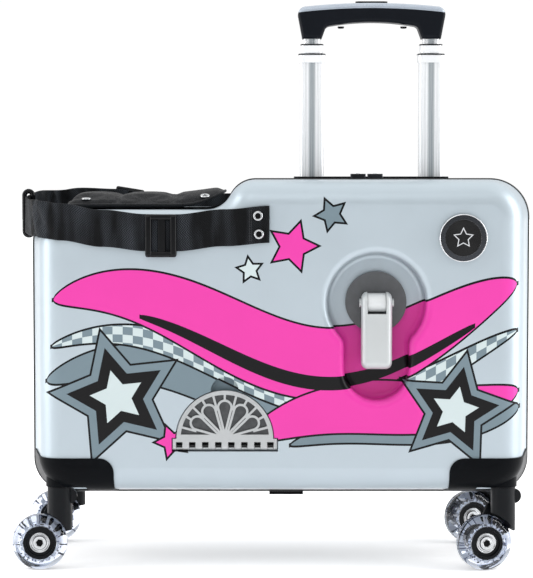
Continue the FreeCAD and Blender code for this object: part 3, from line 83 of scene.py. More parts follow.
class Graph:
    """Short forms for adding nodes to one node tree."""

    def __init__(self, tree):
        self.tree = tree

    def put(self, socket, value):
        if isinstance(value, bpy.types.NodeSocket):
            self.tree.links.new(value, socket)
        else:
            socket.default_value = value

    def node(self, kind, inputs=None, **settings):
        made = self.tree.nodes.new(f"ShaderNode{kind}")
        for name, value in settings.items():
            setattr(made, name, value)
        for name, value in (inputs or {}).items():
            self.put(made.inputs[name], value)
        return made

    def math(self, operation, *values, clamp=False):
        return self.node("Math", dict(enumerate(values)), operation=operation, use_clamp=clamp).outputs[0]

    add = partialmethod(math, "ADD")
    minus = partialmethod(math, "SUBTRACT")
    times = partialmethod(math, "MULTIPLY")
    over = partialmethod(math, "DIVIDE")
    times_add = partialmethod(math, "MULTIPLY_ADD")
    size = partialmethod(math, "ABSOLUTE")
    less = partialmethod(math, "LESS_THAN")
    more = partialmethod(math, "GREATER_THAN")
    most = partialmethod(math, "MAXIMUM")
    sine = partialmethod(math, "SINE")
    one_minus = partialmethod(math, "SUBTRACT", 1.0)

    def mix(self, share, first, second):
        return self.node("Mix", {0: share, 6: first, 7: second}, data_type="RGBA").outputs[2]

    def ramp(self, value, low, high, to_low=0.0, to_high=1.0):
        return self.node("MapRange", {"Value": value, "From Min": low, "From Max": high,
                                      "To Min": to_low, "To Max": to_high}).outputs[0]

    def noise(self, scale, detail=2.0, vector=None):
        return self.node("TexNoise", {"Scale": scale, "Detail": detail,
                                      "Vector": vector or self.place()}).outputs[0]

    def bump(self, strength, distance, height):
        return self.node("Bump", {"Strength": strength, "Distance": distance, "Height": height}).outputs[0]

    def distance(self, x, y):
        return self.math("SQRT", self.times_add(x, x, self.times(y, y)))

    def place(self):
        return self.node("TexCoord").outputs["Object"]

    def axes(self, vector=None):
        return self.node("SeparateXYZ", {"Vector": vector or self.place()}).outputs

    def use(self, tree, **inputs):
        return self.node("Group", inputs, node_tree=tree).outputs


def node_group(name, inputs, **outputs):
    """Turns a function that gives the outputs of a group, in their order, into the group."""
    def make(wire):
        tree = bpy.data.node_groups.new(name, "ShaderNodeTree")
        for label, value in inputs.items():
            kind = "NodeSocketVector" if value is None else "NodeSocketFloat"
            socket = tree.interface.new_socket(label, in_out="INPUT", socket_type=kind)
            if value is not None:
                socket.default_value = value
        for label, kind in outputs.items():
            tree.interface.new_socket(label, in_out="OUTPUT", socket_type=f"NodeSocket{kind}")
        graph = Graph(tree)
        given = tree.nodes.new("NodeGroupInput").outputs[:len(inputs)]
        for socket, value in zip(tree.nodes.new("NodeGroupOutput").inputs, wire(graph, *given)):
            graph.put(socket, value)
        return tree
    return make


@node_group("grain", {"Scale": 900.0, "Depth": 0.2}, Mask="Float", Normal="Vector")
def grain_group(graph, scale, depth):
    """Moulded texture: a fine noise as a mask and as a bumped normal."""
    value = graph.noise(scale, 3)
    return value, graph.bump(depth, 0.0004, value)


@node_group("wear", {"Amount": 0.5}, Mask="Float")
def wear_group(graph, amount):
    """Rubbed edges: where the surface is sharply convex, broken up by noise."""
    edge = graph.ramp(graph.node("NewGeometry").outputs["Pointiness"], 0.53, 0.66)
    broken = graph.ramp(graph.noise(140, 4), 0.42, 0.68)
    return [graph.times(graph.times(edge, broken), amount)]


@node_group("dust", {"Amount": 0.1}, Mask="Float")
def dust_group(graph, amount):
    """A little dust on what faces up."""
    up = graph.ramp(graph.axes(graph.node("NewGeometry").outputs["Normal"])[2], 0.35, 1)
    patches = graph.ramp(graph.noise(38, 6), 0.35, 0.75)
    return [graph.times(graph.times(up, patches), amount)]


@node_group("weave", {"Vector": None, "Pitch": 0.0018, "Row": 0.005, "Depth": 0.6},
            Mask="Float", Normal="Vector")
def weave_group(graph, vector, pitch, row, depth):
    """Webbing: rows of slanted yarn that turn back across the width, like a herringbone."""
    along, across = graph.axes(vector)[:2]
    zigzag = graph.math("PINGPONG", across, row)
    yarn = graph.sine(graph.times(graph.over(graph.add(along, zigzag), pitch), math.tau))
    fray = graph.minus(graph.noise(2500), 0.5)
    mask = graph.ramp(graph.add(graph.times(yarn, 0.5), fray), -0.6, 0.6)
    return mask, graph.bump(depth, 0.0005, mask)


RIBBON_SOCKETS = ("Start", "End", "Base", "Slope", "Bend", "Wave", "Phase", "Width", "Skew")


@node_group("swoosh", dict.fromkeys(("X", "Z", *RIBBON_SOCKETS), 0.0),
            Distance="Float", Along="Float", Across="Float")
def swoosh_group(graph, x, z, start, end, base, slope, bend, wave, phase, width, skew):
    """How far a point of the face is from a wavy ribbon that tapers at both ends."""
    along = graph.over(graph.minus(x, start), graph.minus(end, start), clamp=True)
    angle = graph.add(graph.times(x, wave), phase)
    swing = graph.times(graph.sine(angle), bend)
    middle = graph.add(graph.add(base, swing), graph.times(slope, x))
    steep = graph.add(graph.times(graph.math("COSINE", angle), graph.times(bend, wave)), slope)
    lean = graph.math("INVERSE_SQRT", graph.times_add(steep, steep, 1))
    full = graph.times(graph.math("POWER", along, skew),
                       graph.math("POWER", graph.one_minus(along), graph.minus(1.2, skew)))
    across = graph.times(graph.minus(z, middle), lean)
    distance = graph.minus(graph.size(across), graph.times(width, full))
    beyond = graph.most(graph.minus(start, x), graph.minus(x, end))
    return graph.most(distance, beyond), along, across


@node_group("star", dict.fromkeys(("X", "Z", "Across", "Up", "Radius", "Turn"), 0.0), Distance="Float")
def star_group(graph, x, z, across, up, radius, turn):
    """How far a point of the face is from a five-pointed star."""
    notch, half_point = 0.5, math.pi / 5
    edge = Vector((notch * math.cos(half_point) - 1, notch * math.sin(half_point)))
    outward = Vector((edge.y, -edge.x)).normalized()
    x, z = graph.minus(x, across), graph.minus(z, up)
    reach = graph.distance(x, z)
    angle = graph.add(graph.math("ARCTAN2", x, z), turn)
    fold = graph.math("PINGPONG", graph.add(angle, 2 * math.tau), half_point)
    near = graph.times(reach, graph.math("COSINE", fold))
    side = graph.times(reach, graph.sine(fold))
    first = graph.times(graph.minus(near, radius), outward.x)
    return [graph.times_add(side, outward.y, first)]


KEYLINE = 0.0022
RIBBONS = (
    # fill, then a value for each of RIBBON_SOCKETS
    (SLATE, -0.252, 0.150, 0.196, 0.05, 0.040, 12.1, 3.70, 0.052, 0.55),
    (PALE, -0.246, 0.252, 0.224, 0.05, 0.043, 12.1, 3.85, 0.034, 0.60),
    (PINK, -0.244, 0.252, 0.268, 0.05, 0.045, 12.1, 4.00, 0.088, 0.62),
    (SLATE, 0.010, 0.255, 0.118, 0.30, 0.018, 16.0, 1.20, 0.034, 0.70),
    (PINK, -0.040, 0.254, 0.146, 0.26, 0.018, 16.0, 1.20, 0.062, 0.62),
    (INK, -0.150, 0.205, 0.247, 0.05, 0.045, 12.1, 4.00, 0.012, 0.60),
)
STARS = (
    # across, up, turn, and the fills and radii of the stars laid on each other there
    (-0.176, 0.190, 0.25, ((SLATE, 0.073), (INK, 0.050), (PALE, 0.030))),
    (0.012, 0.352, -0.30, ((PINK, 0.026),)),
    (0.053, 0.386, 0.40, ((SLATE, 0.016),)),
    (-0.034, 0.327, 0.15, ((PALE, 0.012),)),
    (0.186, 0.176, -0.20, ((SLATE, 0.063), (INK, 0.043), (PALE, 0.026))),
    (-0.118, 0.142, 0.35, ((PINK, 0.017),)),
)
CHECK_COLUMNS, CHECK_HEIGHT = 46.0, 0.0085
FACE_Y = 0.074


@node_group("print", {}, Colour="Color", Mask="Float")
def print_group(graph):
    """The printed film: ribbons, a checked ribbon and stars, each with a dark keyline."""
    x, y, z = graph.axes()
    layers = []
    for fill, *values in RIBBONS:
        made = graph.use(swoosh_group, X=x, Z=z, **dict(zip(RIBBON_SOCKETS, values)))
        if fill == PALE:
            column = graph.math("FLOOR", graph.times(made["Along"], CHECK_COLUMNS))
            row = graph.math("FLOOR", graph.over(made["Across"], CHECK_HEIGHT))
            odd = graph.math("FLOORED_MODULO", graph.add(column, row), 2)
            fill = graph.mix(odd, PALE, SLATE)
        layers.append((made["Distance"], fill))
    for across, up, turn, stars in STARS:
        for fill, radius in stars:
            made = graph.use(star_group, X=x, Z=z, Across=across, Up=up, Radius=radius, Turn=turn)
            layers.append((made["Distance"], fill))
    colour, cover = SILVER_BLUE, 0.0
    for distance, fill in layers:
        inked = graph.less(distance, KEYLINE)
        colour = graph.mix(graph.less(distance, 0), graph.mix(inked, colour, INK), fill)
        cover = graph.most(cover, inked)
    on_face = graph.more(graph.size(y), FACE_Y)
    return graph.mix(on_face, SILVER_BLUE, colour), graph.times(cover, on_face)


TUBE_WIDTH = 0.0267
tube_low, tube_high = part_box("stage_low_tubes")
TUBE_X = (tube_low.x + TUBE_WIDTH / 2, tube_high.x - TUBE_WIDTH / 2)
TUBE_Y = (tube_low.y + tube_high.y) / 2
badge_low, badge_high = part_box("badge_disc")
BADGE_CENTRE = ((badge_low.x + badge_high.x) / 2, (badge_low.z + badge_high.z) / 2)
PEDAL_AXIS_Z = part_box("front_pedal_fan")[0].z
SQUARE_FLOOR_Z = PEDAL_AXIS_Z - 0.0006


def material(name, constants):
    """Makes a look of a function that gives colour, roughness, normal and metallic, or the first few."""
    def make(paint):
        made = bpy.data.materials.new(name)
        made.use_nodes = True
        made.node_tree.nodes.clear()
        graph = Graph(made.node_tree)
        shader = graph.node("BsdfPrincipled", constants)
        graph.node("OutputMaterial", {"Surface": shader.outputs[0]})
        for socket, value in zip(("Base Color", "Roughness", "Normal", "Metallic"), paint(graph)):
            graph.put(shader.inputs[socket], value)
        return made
    return make


def finish_surface(graph, colour, roughness, grain, vary=0.1, wear=0.0, dust=0.0, worn=PALE,
                   rough_swing=0.12):
    """Colour, roughness and normal of a surface with the shared grain, wear and dust."""
    texture = graph.use(grain_group, Scale=grain[0], Depth=grain[1])
    cloud = graph.noise(22, 4)
    shade = graph.ramp(cloud, 0.3, 0.7, 1 - vary, 1 + vary)
    if not isinstance(colour, bpy.types.NodeSocket):
        colour = colour[:3]
    colour = graph.node("VectorMath", {0: colour, "Scale": shade}, operation="SCALE").outputs[0]
    if wear:
        colour = graph.mix(graph.use(wear_group, Amount=wear)["Mask"], colour, worn)
    if dust:
        colour = graph.mix(graph.use(dust_group, Amount=dust)["Mask"], colour, DUST_GREY)
    swing = graph.ramp(texture["Mask"], 0.25, 0.75, roughness - rough_swing / 2, roughness + rough_swing / 2)
    smear = graph.ramp(cloud, 0.35, 0.7, -0.03, 0.05)
    return colour, graph.add(swing, smear, clamp=True), texture["Normal"]


def surface(name, colour, roughness, metallic, coat, specular, grain, details):
    constants = {"Metallic": metallic, "Coat Weight": coat, "Coat Roughness": 0.1,
                 "Specular IOR Level": specular}
    return material(name, constants)(
        lambda graph: finish_surface(graph, colour, roughness, grain, **details))


@material("printed_shell", {"Coat Weight": 0.12, "Coat Roughness": 0.12, "Specular IOR Level": 0.12})
def shell(graph):
    """Printed film over a silver-blue shell, with a band of painted shade along the lower edge, seen as a
    dark line.
    """
    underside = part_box("front_shell")[0].z
    printed = graph.use(print_group)
    bare = graph.one_minus(printed["Mask"])
    dark_to, pale_from = underside + 0.0072, underside + 0.0082
    # Painted shade: below a height just above the shell's lowest point its colour goes dark, as the shade
    # under the case.
    painted_under_shade = graph.ramp(graph.axes()[2], dark_to, pale_from, 1, 0)
    colour = graph.mix(painted_under_shade, printed["Colour"], tone(20, 22, 25))
    finish = finish_surface(graph, colour, 0.38, (160.0, 0.0), vary=0.015, dust=0.02, rough_swing=0.02)
    return *finish, graph.times(bare, 0.4)


@material("drawn_aluminium", {"Metallic": 0.3})
def tube(graph):
    """Drawn aluminium with a flute down the middle of each tube, bumped and painted darker as its shade, and
    a fine darker line painted on both sides as the shade of a lip.
    """
    flute_edge, flute_end, lip_place, lip_width = 0.0022, 0.0046, 0.0068, 0.0009
    x = graph.axes()[0]
    offset = graph.math("MINIMUM", *(graph.size(graph.minus(x, middle)) for middle in TUBE_X))
    flute_and_shade = graph.ramp(offset, flute_edge, flute_end, 1, 0)
    lip_shade = graph.ramp(graph.size(graph.minus(offset, lip_place)), 0, lip_width, 1, 0)
    stretched = graph.node("Mapping", {"Vector": graph.place(), "Scale": (1500, 1500, 6)})
    streak = graph.noise(1, 3, stretched.outputs[0])
    # Painted shade: the flute band is coloured darker and a fine line on both sides is darkened for the lip.
    colour = graph.mix(flute_and_shade, tone(236, 238, 240), tone(152, 159, 163))
    colour = graph.mix(graph.times(lip_shade, 0.3), colour, tone(120, 126, 130))
    colour = graph.mix(graph.ramp(streak, 0.3, 0.8, 0, 0.25), colour, tone(180, 184, 188))
    height = graph.add(graph.times(flute_and_shade, -0.6), graph.times(streak, 0.08))
    return colour, graph.ramp(streak, 0.2, 0.8, 0.2, 0.38), graph.bump(0.8, 0.0012, height)


@material("bar_boss", {"Coat Weight": 0.2})
def boss(graph):
    """Dark boss, with the pale knuckle that stands out of it."""
    knuckle_y = 0.0862
    knuckle = graph.more(graph.size(graph.axes()[1]), knuckle_y)
    colour = graph.mix(knuckle, tone(66, 68, 71), tone(196, 199, 200))
    return finish_surface(graph, colour, 0.42, (1400.0, 0.1), vary=0.03, wear=0.04, dust=0.02,
                          rough_swing=0.06)


def hinge_material(name, colour, edge, **details):
    """Dark metal that is silver below a height, along the lower edge of the pedal's hinge."""
    @material(name, {"Metallic": 0.3})
    def made(graph):
        below = graph.less(graph.axes()[2], edge)
        return finish_surface(graph, graph.mix(below, colour, tone(176, 179, 180)), 0.36, **details)
    return made


@material("spun_disc", {"Specular IOR Level": 0.2, "Coat Weight": 0.1})
def badge(graph):
    """A turned disc with fine rings round its centre and a star in outline."""
    ring_pitch, star_radius, line_half = 0.0011, 0.0105, 0.0005
    x, _, z = graph.axes()
    across, up = BADGE_CENTRE
    reach = graph.distance(graph.minus(x, across), graph.minus(z, up))
    rings = graph.sine(graph.times(reach, math.tau / ring_pitch))
    face = graph.mix(graph.ramp(rings, -1, 1, 0, 0.3), tone(5, 5, 6), tone(18, 19, 21))
    star = graph.use(star_group, X=x, Z=z, Across=across, Up=up, Radius=star_radius)["Distance"]
    line = graph.less(graph.size(star), line_half)
    return (graph.mix(line, face, tone(190, 192, 195)), graph.ramp(rings, -1, 1, 0.2, 0.35),
            graph.bump(0.25, 0.0003, rings))


@material("zip_tape", {"Sheen Weight": 0.25})
def tape(graph):
    """Zip tape: a line of small teeth down the middle of woven tape."""
    tooth_pitch, teeth_half, yarn_pitch = 0.0026, 0.0022, 0.0011
    x, y, z = graph.axes()
    run = graph.add(x, z)
    teeth = graph.sine(graph.times(run, math.tau / tooth_pitch))
    central = graph.less(graph.size(y), teeth_half)
    yarn = graph.sine(graph.times(graph.add(run, y), math.tau / yarn_pitch))
    height = graph.times_add(teeth, central, graph.times(yarn, 0.35))
    shade = graph.ramp(height, -1.2, 1.2)
    return (graph.mix(shade, tone(8, 8, 9), tone(30, 31, 34)), graph.ramp(shade, 0, 1, 0.75, 0.5),
            graph.bump(0.6, 0.0005, height))


@material("webbing", {"Specular IOR Level": 0.1})
def webbing(graph):
    """Herringbone webbing with slanted streaks of painted sheen, laid out along the strap."""
    line = graph.node("Attribute", attribute_name="strap").outputs["Vector"]
    cloth = graph.use(weave_group, Vector=line, Pitch=0.0026, Row=0.0060, Depth=0.9)
    dark = graph.mix(graph.noise(30, 4), tone(3, 4, 5), tone(8, 9, 10))
    slant = graph.node("Mapping", {"Vector": line, "Rotation": (0, 0, 0.9), "Scale": (60, 9, 1)})
    # Painted sheen: slanted noise streaks that lighten the yarn's colour as highlights.
    painted_sheen = graph.ramp(graph.noise(1, 2, slant.outputs[0]), 0.4, 0.7)
    yarn = graph.mix(painted_sheen, tone(9, 11, 14), tone(60, 64, 70))
    colour = graph.mix(cloth["Mask"], dark, yarn)
    dusty = graph.mix(graph.use(dust_group, Amount=0.05)["Mask"], colour, tone(120, 120, 120))
    return dusty, graph.ramp(cloth["Mask"], 0, 1, 0.7, 0.48), cloth["Normal"]


def leather_material(name, colour):
    """Grained leatherette: cells with fine creases between them."""
    @material(name, {"Specular IOR Level": 0.14})
    def made(graph):
        cells = graph.node("TexVoronoi", {"Vector": graph.place(), "Scale": 620},
                           feature="DISTANCE_TO_EDGE")
        pebble = graph.ramp(cells.outputs["Distance"], 0, 0.16)
        cloud = graph.noise(26, 5)
        base = graph.mix(cloud, colour, tone(38, 40, 43))
        height = graph.times_add(cloud, 0.6, pebble)
        return (graph.mix(pebble, tone(7, 7, 8), base),
                graph.ramp(graph.times(pebble, cloud), 0, 0.7, 0.62, 0.42),
                graph.bump(0.45, 0.0006, height))
    return made


@material("clear_cast", {"Transmission Weight": 1.0, "IOR": 1.42})
def cast(graph):
    """Clear cast urethane of the wheels."""
    cloud = graph.noise(60, 3)
    return (graph.mix(cloud, tone(214, 223, 240), tone(236, 241, 250)),
            graph.ramp(cloud, 0.3, 0.7, 0.01, 0.06), graph.bump(0.08, 0.0005, graph.noise(300)))


@material("lining_cloth", {"Sheen Weight": 0.3})
def lining(graph):
    """Plain woven cloth."""
    x, y, z = graph.axes()
    run = graph.node("CombineXYZ", {"X": graph.add(x, y), "Y": z}).outputs[0]
    cloth = graph.use(weave_group, Vector=run, Pitch=0.0016, Row=0.0016, Depth=0.4)
    return (graph.mix(cloth["Mask"], tone(70, 74, 80), tone(112, 117, 124)),
            graph.ramp(cloth["Mask"], 0, 1, 0.9, 0.7), cloth["Normal"])


@material("studio_paper", {"Roughness": 0.75, "Specular IOR Level": 0.15, "Emission Color": WHITE,
                           "Emission Strength": 0.3})
def paper(graph):
    """Pale paper, lit a little from within."""
    return [graph.mix(graph.noise(3), tone(246, 246, 247), tone(250, 250, 251))]


RUBBED, RUBBED_BLUE = tone(60, 62, 66), tone(60, 64, 70)
RUBBED_SILVER = tone(120, 122, 124)

SURFACES = {
    # colour, roughness, metallic, coat, specular, the grain's scale and depth,
    # then what differs from the defaults of finish_surface
    "black_plastic": (BLACK_PLASTIC, 0.4, 0, 0, 0.06, (1100, 0.15), dict(wear=0.08, worn=RUBBED, dust=0.02)),
    "gloss_black_plastic": (GLOSS_BLACK, 0.2, 0, 0, 0.18, (600, 0.02),
                            dict(wear=0.02, worn=RUBBED_BLUE, rough_swing=0.04)),
    "grip_black": (tone(7, 11, 18), 0.44, 0, 0, 0.11, (1000, 0.08),
                   dict(wear=0.03, worn=RUBBED_BLUE, dust=0.01, rough_swing=0.06)),
    "fork_black": (tone(7, 10, 14), 0.4, 0, 0, 0.14, (1000, 0.12), dict(wear=0.06, worn=RUBBED, dust=0.02)),
    "pale_plastic": (tone(176, 180, 181), 0.38, 0.25, 0.2, 0.5, (1400, 0.08), dict(vary=0.03, dust=0.03)),
    "silver_paint": (tone(168, 171, 172), 0.38, 0.5, 0.2, 0.5, (1600, 0.1),
                     dict(vary=0.05, wear=0.2, worn=RUBBED_SILVER, dust=0.03)),
    "steel": (tone(180, 182, 184), 0.22, 1, 0, 0.5, (1500, 0.12), dict(vary=0.06, rough_swing=0.16)),
    "chrome": (tone(225, 226, 228), 0.08, 1, 0, 0.5, (900, 0.02), dict(vary=0.03, rough_swing=0.05)),
    "dark_chrome": (tone(64, 66, 70), 0.12, 1, 0, 0.5, (900, 0.03), dict(vary=0.05, rough_swing=0.06)),
    "collar_paint": (tone(230, 232, 234), 0.38, 0.3, 0.2, 0.5, (1500, 0.06), dict(vary=0.03, dust=0.03)),
    "cap_paint": (tone(158, 167, 178), 0.3, 0.25, 0.3, 0.5, (1200, 0.08), dict(vary=0.04, dust=0.06)),
    "hole_black": (tone(4, 4, 5), 0.6, 0, 0, 0.1, (1500, 0.2), {}),
    "thread": (tone(44, 45, 49), 0.7, 0, 0, 0.5, (3000, 0.5), {}),
    "flake_dark": (tone(30, 36, 52), 0.35, 0, 0, 0.5, (2000, 0.1), {}),
    "flake_light": (tone(240, 242, 246), 0.3, 0, 0, 0.5, (2000, 0.1), dict(vary=0.03)),
    "flake_blue": (tone(62, 76, 112), 0.35, 0, 0, 0.5, (2000, 0.1), {}),
    "core_white": (tone(214, 220, 230), 0.4, 0, 0, 0.5, (1500, 0.1), dict(vary=0.04)),
}
(black, gloss_black, grip_black, fork_black, pale_plastic, silver_paint, steel, chrome, dark_chrome,
 collar_paint, cap_paint, hole_black, thread, flake_dark, flake_light, flake_blue, core_white) = (
    surface(name, *row) for name, row in SURFACES.items())
dark_plate = hinge_material("dark_plate", tone(58, 60, 62), PEDAL_AXIS_Z, grain=(1300, 0.25), wear=0.3,
                            worn=tone(110, 112, 114), dust=0.03)
hinge_black = hinge_material("hinge_black", GLOSS_BLACK, SQUARE_FLOOR_Z, grain=(600, 0.02))
leather = leather_material("leatherette", tone(27, 28, 31))
piping_leather = leather_material("piping_leatherette", tone(34, 35, 38))

CASTERS = ("front_left", "front_right", "rear_left", "rear_right")
LOOKS = {
    "front_belt_rivets": steel, "rear_rivets": steel, "belt_ring": gloss_black, "seat_cushion": leather,
    "badge_ring": dark_chrome, "badge_disc": badge,
    "trolley_housing": black, "trolley_bezel": black, "tape_end_cover": black,
    **dict.fromkeys(("stage_low_tubes", "stage_mid_tubes", "stage_top_tubes"), tube),
    "stage_low_collars": collar_paint, "stage_mid_collars": collar_paint,
    "grip_body": grip_black, "grip_cap": cap_paint, "grip_button": gloss_black,
    "zip_slider_left": dark_chrome, "zip_slider_right": dark_chrome,
}
HALF_LOOKS = {
    "shell": shell, "lining": lining, "tape": tape, "corner_guards": black, "bar_base": boss,
    "bar": pale_plastic, "hinge_pins": silver_paint, "pedal": dark_plate, "pedal_fan": silver_paint,
    "pedal_base": hinge_black, "slide_buckle": gloss_black, "belt": webbing,
}
CASTER_LOOKS = {"fork": fork_black, "axle": steel, "tyre": cast, "hub": fork_black}
for places, looks in ((("front", "rear"), HALF_LOOKS), (CASTERS, CASTER_LOOKS)):
    LOOKS.update({f"{place}_{name}": look for place in places for name, look in looks.items()})
for name, look in LOOKS.items():
    NODES[name].data.materials.clear()
    NODES[name].data.materials.append(look)


def show(thing):
    bpy.context.scene.collection.objects.link(thing)
    return thing


def new_piece(name, mesh_tool, body, slot, *looks, smooth=True):
    """Makes an object of a bmesh and sets it on a body of the frame."""
    mesh = bpy.data.meshes.new(name)
    bmesh.ops.recalc_face_normals(mesh_tool, faces=mesh_tool.faces)
    mesh_tool.to_mesh(mesh)
    mesh_tool.free()
    for look in looks:
        mesh.materials.append(look)
    if smooth:
        mesh.shade_smooth()
    piece = show(bpy.data.objects.new(name, mesh))
    if body:
        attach(piece, body)
    return piece


def skin(tool, rings, close=True, look=0):
    """Joins rings of points, all of one length, with faces: the last to the first, or with a cap at each end.

    look is the faces' material slot, or a function that gives one for each face.
    """
    rows = [[tool.verts.new(point) for point in ring] for ring in rings]
    pairs = list(zip(rows, rows[1:]))
    if close:
        pairs.append((rows[-1], rows[0]))
    faces = [face for low, high in pairs for face in zip(low, low[1:] + low[:1], high[1:] + high[:1], high)]
    if not close:
        faces += [rows[0][::-1], rows[-1]]
    for face in faces:
        tool.faces.new(face).material_index = look() if callable(look) else look
    return rows


def around(steps):
    """Angles in equal steps round a circle."""
    return [math.tau * step / steps for step in range(steps)]


def spoke(axis):
    """A function that gives the way out from an axis at an angle."""
    side = axis.orthogonal().normalized()
    other = axis.cross(side)
    return lambda angle: side * math.cos(angle) + other * math.sin(angle)


def lathe(tool, profile, origin, axis, segments=40, look=0):
    """Turns a closed line of (radius, height) points, in millimetres, about an axis."""
    axis = Vector(axis).normalized()
    out_at = spoke(axis)
    rings = []
    for angle in around(segments):
        out = out_at(angle)
        rings.append([Vector(origin) + (out * radius + axis * height) * MM for radius, height in profile])
    skin(tool, rings, look=look)


def neighbours(points, closed=False):
    """Each point between the ones before and after it. At an open end it stands in for the missing one."""
    first, last = (points[-1], points[0]) if closed else (points[0], points[-1])
    return zip([first, *points[:-1]], points, [*points[1:], last])


def tube_along(tool, points, radius, segments, closed=False):
    """A round bar along points."""
    rings = []
    for behind, point, ahead in neighbours(points, closed):
        along = (ahead - behind).normalized()
        side = along.cross(UP)
        if side.length < 1e-4:
            side = along.cross(Vector((0, 1, 0)))
        side.normalize()
        other = side.cross(along)
        rings.append([point + side * (radius * math.cos(a)) + other * (radius * math.sin(a))
                      for a in around(segments)])
    skin(tool, rings, closed)


def rounded_block(tool, centre, size, bevel):
    """A block with rounded edges."""
    place = Matrix.Translation(centre) @ Matrix.Diagonal((*size, 1))
    made = bmesh.ops.create_cube(tool, size=1.0, matrix=place)
    edges = list({edge for vertex in made["verts"] for edge in vertex.link_edges})
    bmesh.ops.bevel(tool, geom=edges, offset=bevel, segments=4, profile=0.5, affect="EDGES")


def ease(share):
    """A smooth step from 0 to 1."""
    share = min(max(share, 0), 1)
    return share * share * (3 - 2 * share)


def blend_line(table, x):
    """A smooth value from a table of (x, value) points with x rising."""
    for (x0, v0), (x1, v1) in zip(table, table[1:]):
        if x <= x1:
            return v0 + (v1 - v0) * ease((x - x0) / (x1 - x0))
    return table[-1][1]


def round_path(corners, step):
    """Points along straight runs whose corners, given with a radius, are rounded."""
    turns = 12
    points = [Vector(corners[0][:2])]
    for before, (x, y, radius), after in zip(corners, corners[1:], corners[2:]):
        here = Vector((x, y))
        into, out = (here - Vector(before[:2])).normalized(), (Vector(after[:2]) - here).normalized()
        reach = radius * math.tan(into.angle(out) / 2)
        start, stop = here - into * reach, here + out * reach
        for share in (number / turns for number in range(turns + 1)):
            points.append(start.lerp(here, share).lerp(here.lerp(stop, share), share))
    points.append(Vector(corners[-1][:2]))
    dense = [points[0]]
    for first, last in zip(points, points[1:]):
        pieces = max(1, int((last - first).length / step))
        dense += [first.lerp(last, number / pieces) for number in range(1, pieces + 1)]
    return dense


BELT_Y, BELT_END = 0.1116, -0.013
BELT_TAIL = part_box("rear_belt")[0].x + 0.0005
BELT_CORNER_X, BELT_CORNER_RADIUS = BELT_TAIL + 0.0239, 0.035
BELT_HALF, BELT_THICK, BELT_SEED = 0.0198, 0.002, 1.0
# The height of the belt's middle along the front and the rear face.
DIP_X = (-0.30, -0.262, -0.235, -0.192, -0.146, -0.112, -0.061, -0.013)
FRONT_DIP = tuple(zip(DIP_X, (0.381, 0.381, 0.379, 0.3712, 0.3668, 0.3664, 0.3722, 0.3757)))
REAR_DIP = tuple(zip(DIP_X, (0.386, 0.390, 0.3925, 0.3905, 0.386, 0.3845, 0.3855, 0.386)))
# The folds of the front run: where each starts, how it leans and how far it stands out.
BELT_FOLDS = ((-0.205, 1.1, 0.00176), (-0.178, 1.4, 0.0011), (-0.096, -1.2, 0.0011))
FOLD_WIDTH = 0.0065
TAIL_FOLD_X, TAIL_FOLD_Y = -0.262, 0.094
LAP_X, LAP_LEAN, LAP_STEP, LAP_SOFT = -0.062, 0.85, 0.0011, 0.0011


def belt_section():
    """Outline of the webbing across its width, its edges rounded."""
    left = [(-1, 0.0), (-0.985, 0.8), (-0.94, 1.0), (-0.6, 0.94), (-0.2, 0.92)]
    upper = left + [(-w, n) for w, n in left[::-1]]
    lower = [(w, -n) for w, n in upper[-2:0:-1]]
    return [(w * BELT_HALF, n * BELT_THICK / 2) for w, n in upper + lower]


def belt_mesh(path):
    """Webbing along a plan path, its width upright, with soft creases."""
    tool = bmesh.new()
    layer = tool.verts.layers.float_vector.new("strap")
    section = belt_section()
    rings, marks, travelled = [], [], 0.0
    for behind, here, ahead in neighbours(path):
        along = (ahead - behind).normalized()
        out = Vector((along.y, -along.x))
        travelled += (here - behind).length
        droop = 0.0012 * noise.noise(Vector((travelled * 16, BELT_SEED, 2.0)))
        ring = []
        for w, n in section:
            ripple = 0.0006 * noise.noise(Vector((travelled * 45, w * 60, BELT_SEED)))
            shift = out * (n + belt_crease(here, w) + ripple)
            ring.append(Vector((here.x + shift.x, here.y + shift.y, belt_middle(here) + w + droop)))
            marks.append((travelled, w, 0.0))
        rings.append(ring)
    rows = skin(tool, rings, close=False)
    for vertex, mark in zip((v for row in rows for v in row), marks):
        vertex[layer] = mark
    return tool


def bell(distance, width):
    return math.exp(-(distance / width) ** 2)


def belt_crease(here, w):
    """Diagonal folds where the belt turns the tail corners, and a lap before the front eyelets."""
    corner = bell(abs(here.y) - TAIL_FOLD_Y, 0.035) * bell(here.x - TAIL_FOLD_X, 0.05)
    wave = math.sin(here.x * 210 + abs(here.y) * 120 + w * 190)
    fold = 0.0042 * corner * (0.5 + 0.5 * wave) ** 2
    if here.y < -0.1:
        past = (here.x - LAP_X) - LAP_LEAN * w
        fold += LAP_STEP / (1 + math.exp(-past / LAP_SOFT))
        fold += sum(depth * bell(here.x - start - lean * w, FOLD_WIDTH) for start, lean, depth in BELT_FOLDS)
    return fold


def belt_middle(here):
    front_z, rear_z = blend_line(FRONT_DIP, here.x), blend_line(REAR_DIP, here.x)
    return front_z + (rear_z - front_z) * ease((here.y + 0.05) / 0.1)


def build_belt():
    front, rear = ((BELT_CORNER_X, y, BELT_CORNER_RADIUS) for y in (-BELT_Y, BELT_Y))
    corners = [(BELT_END, -BELT_Y), front, (BELT_TAIL, 0.0, 0.03), rear, (BELT_END, BELT_Y)]
    tool = belt_mesh(round_path(corners, 0.0035))
    strap = new_piece("belt_webbing", tool, None, "webbing", webbing)
    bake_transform(strap)
    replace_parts(strap, "front_belt", "rear_belt")


